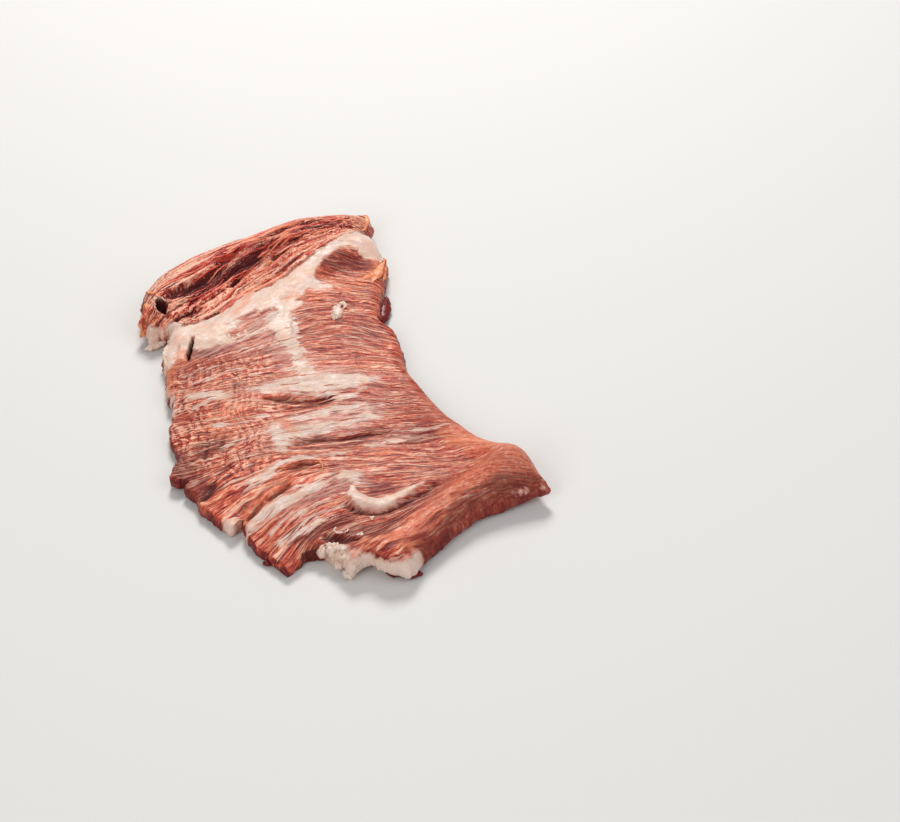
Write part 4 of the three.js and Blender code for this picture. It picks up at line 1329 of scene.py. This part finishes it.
ORANGE_ON_MEAT = {
    "thread": ((-60, -66, 0, 0.3), (-57, -68, 0.9, 0.4), (-56, -71, 0.8, 0.4), (-56.6, -74.5, 0, 0.25)),
    "flap": (
        (-30, 82.4, 2.6, 0.2), (-31.4, 76.4, 2.1, 1.2), (-33.2, 70.4, 1.2, 2.4), (-35, 65.6, 0.5, 2.4),
        (-36.6, 61, -0.2, 1),
    ),
    "flap_foot": ((-34, 69, 0.9, 1.2), (-37.8, 66, 0.5, 1.7), (-41.4, 63.4, 0, 0.7)),
    "flap_side": ((-30.6, 77, 1.6, 0.4), (-31, 71, 0.9, 1.3), (-31.6, 64.6, 0.3, 0.7)),
    "strip_end": (
        (-45, 113.5, 0, 0.7), (-41.5, 112.6, 0.3, 1.1), (-39.4, 109, 0.5, 1.2),
        (-39.8, 103.5, 0.3, 1.2), (-42, 99.5, 0, 0.7),
    ),
    "nub": ((-85.5, 73, 0.2, 0.9), (-84, 75, 0.8, 1.2), (-82, 76, 0.2, 0.8)),
    "end_cord_a": ((-140.2, 45, 0.1, 0.6), (-138.4, 41, 0.4, 1.0), (-137.4, 36.4, 0.2, 0.8)),
    "end_cord_b": ((-139.4, 52, 0, 0.5), (-137.2, 47, 0.4, 0.9), (-134.4, 44.4, 0.3, 0.8)),
}
ORANGE_ON_TABLE = {
    "tooth": (
        (-141.6, 32.2, 3.4, 0.7), (-140, 34, 4.4, 1.7), (-137.5, 36.5, 5.4, 2.0), (-135.5, 39, 6, 1.5),
    ),
}
RED_ON_TABLE = {
    "right_sliver": (
        (-29.8, 60, 1.4, 0.8), (-30.8, 55, 2, 2.2), (-31.4, 49, 2.1, 2.8), (-31.8, 43, 1.9, 2.4),
        (-31.4, 38.5, 1.4, 0.9),
    ),
    "lip_sliver": (
        (-30.5, -127.2, 1.3, 1.2), (-27, -127.4, 1.8, 2.6), (-22, -127.9, 1.9, 3.2),
        (-17.5, -128.4, 1.6, 2.4), (-15.5, -128.6, 1.3, 1.1),
    ),
    "shred": ((-79.8, -118.4, 1.1, 0.7), (-77.6, -119.2, 1.2, 1.3), (-75.2, -120.2, 1.1, 0.7)),
}
CREAM_ON_TABLE = {
    "near_knob": ((-57.6, -117, 4.6, 1.2), (-55.2, -117.8, 5.2, 2.6), (-53, -118.8, 5.4, 1.6)),
    "lip_knob_a": ((-53.2, -118, 6.5, 1.0), (-51.4, -120, 7, 2.0), (-49.4, -122, 6.6, 1.3)),
    "lip_knob_b": ((-50.4, -122.6, 3.4, 1.1), (-48.2, -124.4, 4, 2.2), (-46, -125.6, 4.4, 1.4)),
    "lip_knob_c": ((-46.6, -126.4, 2.2, 1.1), (-44.6, -129, 2.6, 2.1), (-42.2, -129.4, 3, 1.3)),
    "lip_knob_d": ((-45.4, -126.8, 7.4, 0.9), (-42.6, -128.8, 7.4, 1.8), (-39.8, -127.6, 7.8, 1.0)),
    "tongue": (
        (-139.6, 25.4, 1.4, 0.4), (-136.8, 26.2, 1.9, 1.4), (-133.4, 27.4, 2.4, 1.7),
        (-129.6, 29.2, 2.8, 1.2),
    ),
}
RING = {"angles": (10, 45, 80, 115, 150, 185, 220, 250), "radius": 0.45, "rise": 0.2}


def ring_path():
    """The pale rim of the torn hollow: points round its oval, a little outside it."""
    angle = np.radians(RING["angles"])
    a, b = 1.12 * TORN_HOLLOW["size"][0] * np.cos(angle), 1.08 * TORN_HOLLOW["size"][1] * np.sin(angle)
    c, s = np.cos(TORN_HOLLOW["turn"]), np.sin(TORN_HOLLOW["turn"])
    x, y = TORN_HOLLOW["at"][0] + c * a - s * b, TORN_HOLLOW["at"][1] + s * a + c * b
    return np.column_stack((x, y, np.full(len(x), RING["rise"]), np.full(len(x), RING["radius"])))


def lay_cords(name, cords, material, flat, ground=None, seed=91, tone=0.0, lumps=0.45):
    """Short cords and lumps: smooth curves through their points, rounded off at both ends, with a slightly
    uneven radius. With a ground, their heights are counted from the meat's surface."""
    steps, sides = 28, 14
    lines = np.array([curve(points, steps - 1) for points in cords])
    share = np.linspace(0, 1, steps)
    each = np.arange(len(lines))[:, None]
    uneven = 1 + 0.4 * hills(share[None] * 6, each * 2.3 + 0.4, seed)
    radius = lines[..., 3] * uneven * (1 - np.abs(2 * share - 1) ** 4 * 0.98)[None] ** 0.5
    paths = lines[..., :3].copy()
    if ground:
        paths[..., 2] += ground.at(paths[..., 0], paths[..., 1])
    places, faces, along, around = tubes(paths, radius, flat, sides)
    u, v = places[:, 0] / 1.1, places[:, 1] / 1.1
    places = places + lumps * np.column_stack([hills(u + k, v, seed + 1) for k in range(3)])
    places[:, 2] = np.maximum(places[:, 2], 0)
    tones = np.full(len(places), tone)
    return make_piece(name, places, faces, material, {"along": along, "around": around, "tone": tones})


def build_meat():
    places, faces, fields, upper = slab_skin()
    meat = make_piece("meat", places, faces, raw_meat(), fields)
    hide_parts("secreto")
    ground = Ground(upper)
    lay_strands("torn_strands", ground, STRIP_FIBRES, strand_meat("torn_strand", ROPE), ROPE_PLAN, 71)
    lay_strands("pale_threads", ground, BODY_FIBRES[:13], strand_meat("pale_thread", LEAN), THREAD_PLAN, 81)
    cream = fat_tissue("loose_fat", FAT_WHITE, FAT_CREAM)
    orange = strand_meat("dried_rim", DRIED)
    red = strand_meat("torn_shred", SHRED)
    lay_cords("fat_flecks", (*CREAM_ON_MEAT.values(), ring_path()), cream, 0.5, ground, lumps=0.6)
    lay_cords("fat_knobs", CREAM_ON_TABLE.values(), cream, 0.9)
    lay_cords("dried_cords", ORANGE_ON_MEAT.values(), orange, 0.34, ground, tone=0.15, lumps=0.3)
    lay_cords("torn_tooth", ORANGE_ON_TABLE.values(), orange, 0.9, tone=0.15)
    lay_cords("torn_slivers", RED_ON_TABLE.values(), red, 0.6, tone=-0.1)


set_camera()
set_light()
set_floor()
build_meat()
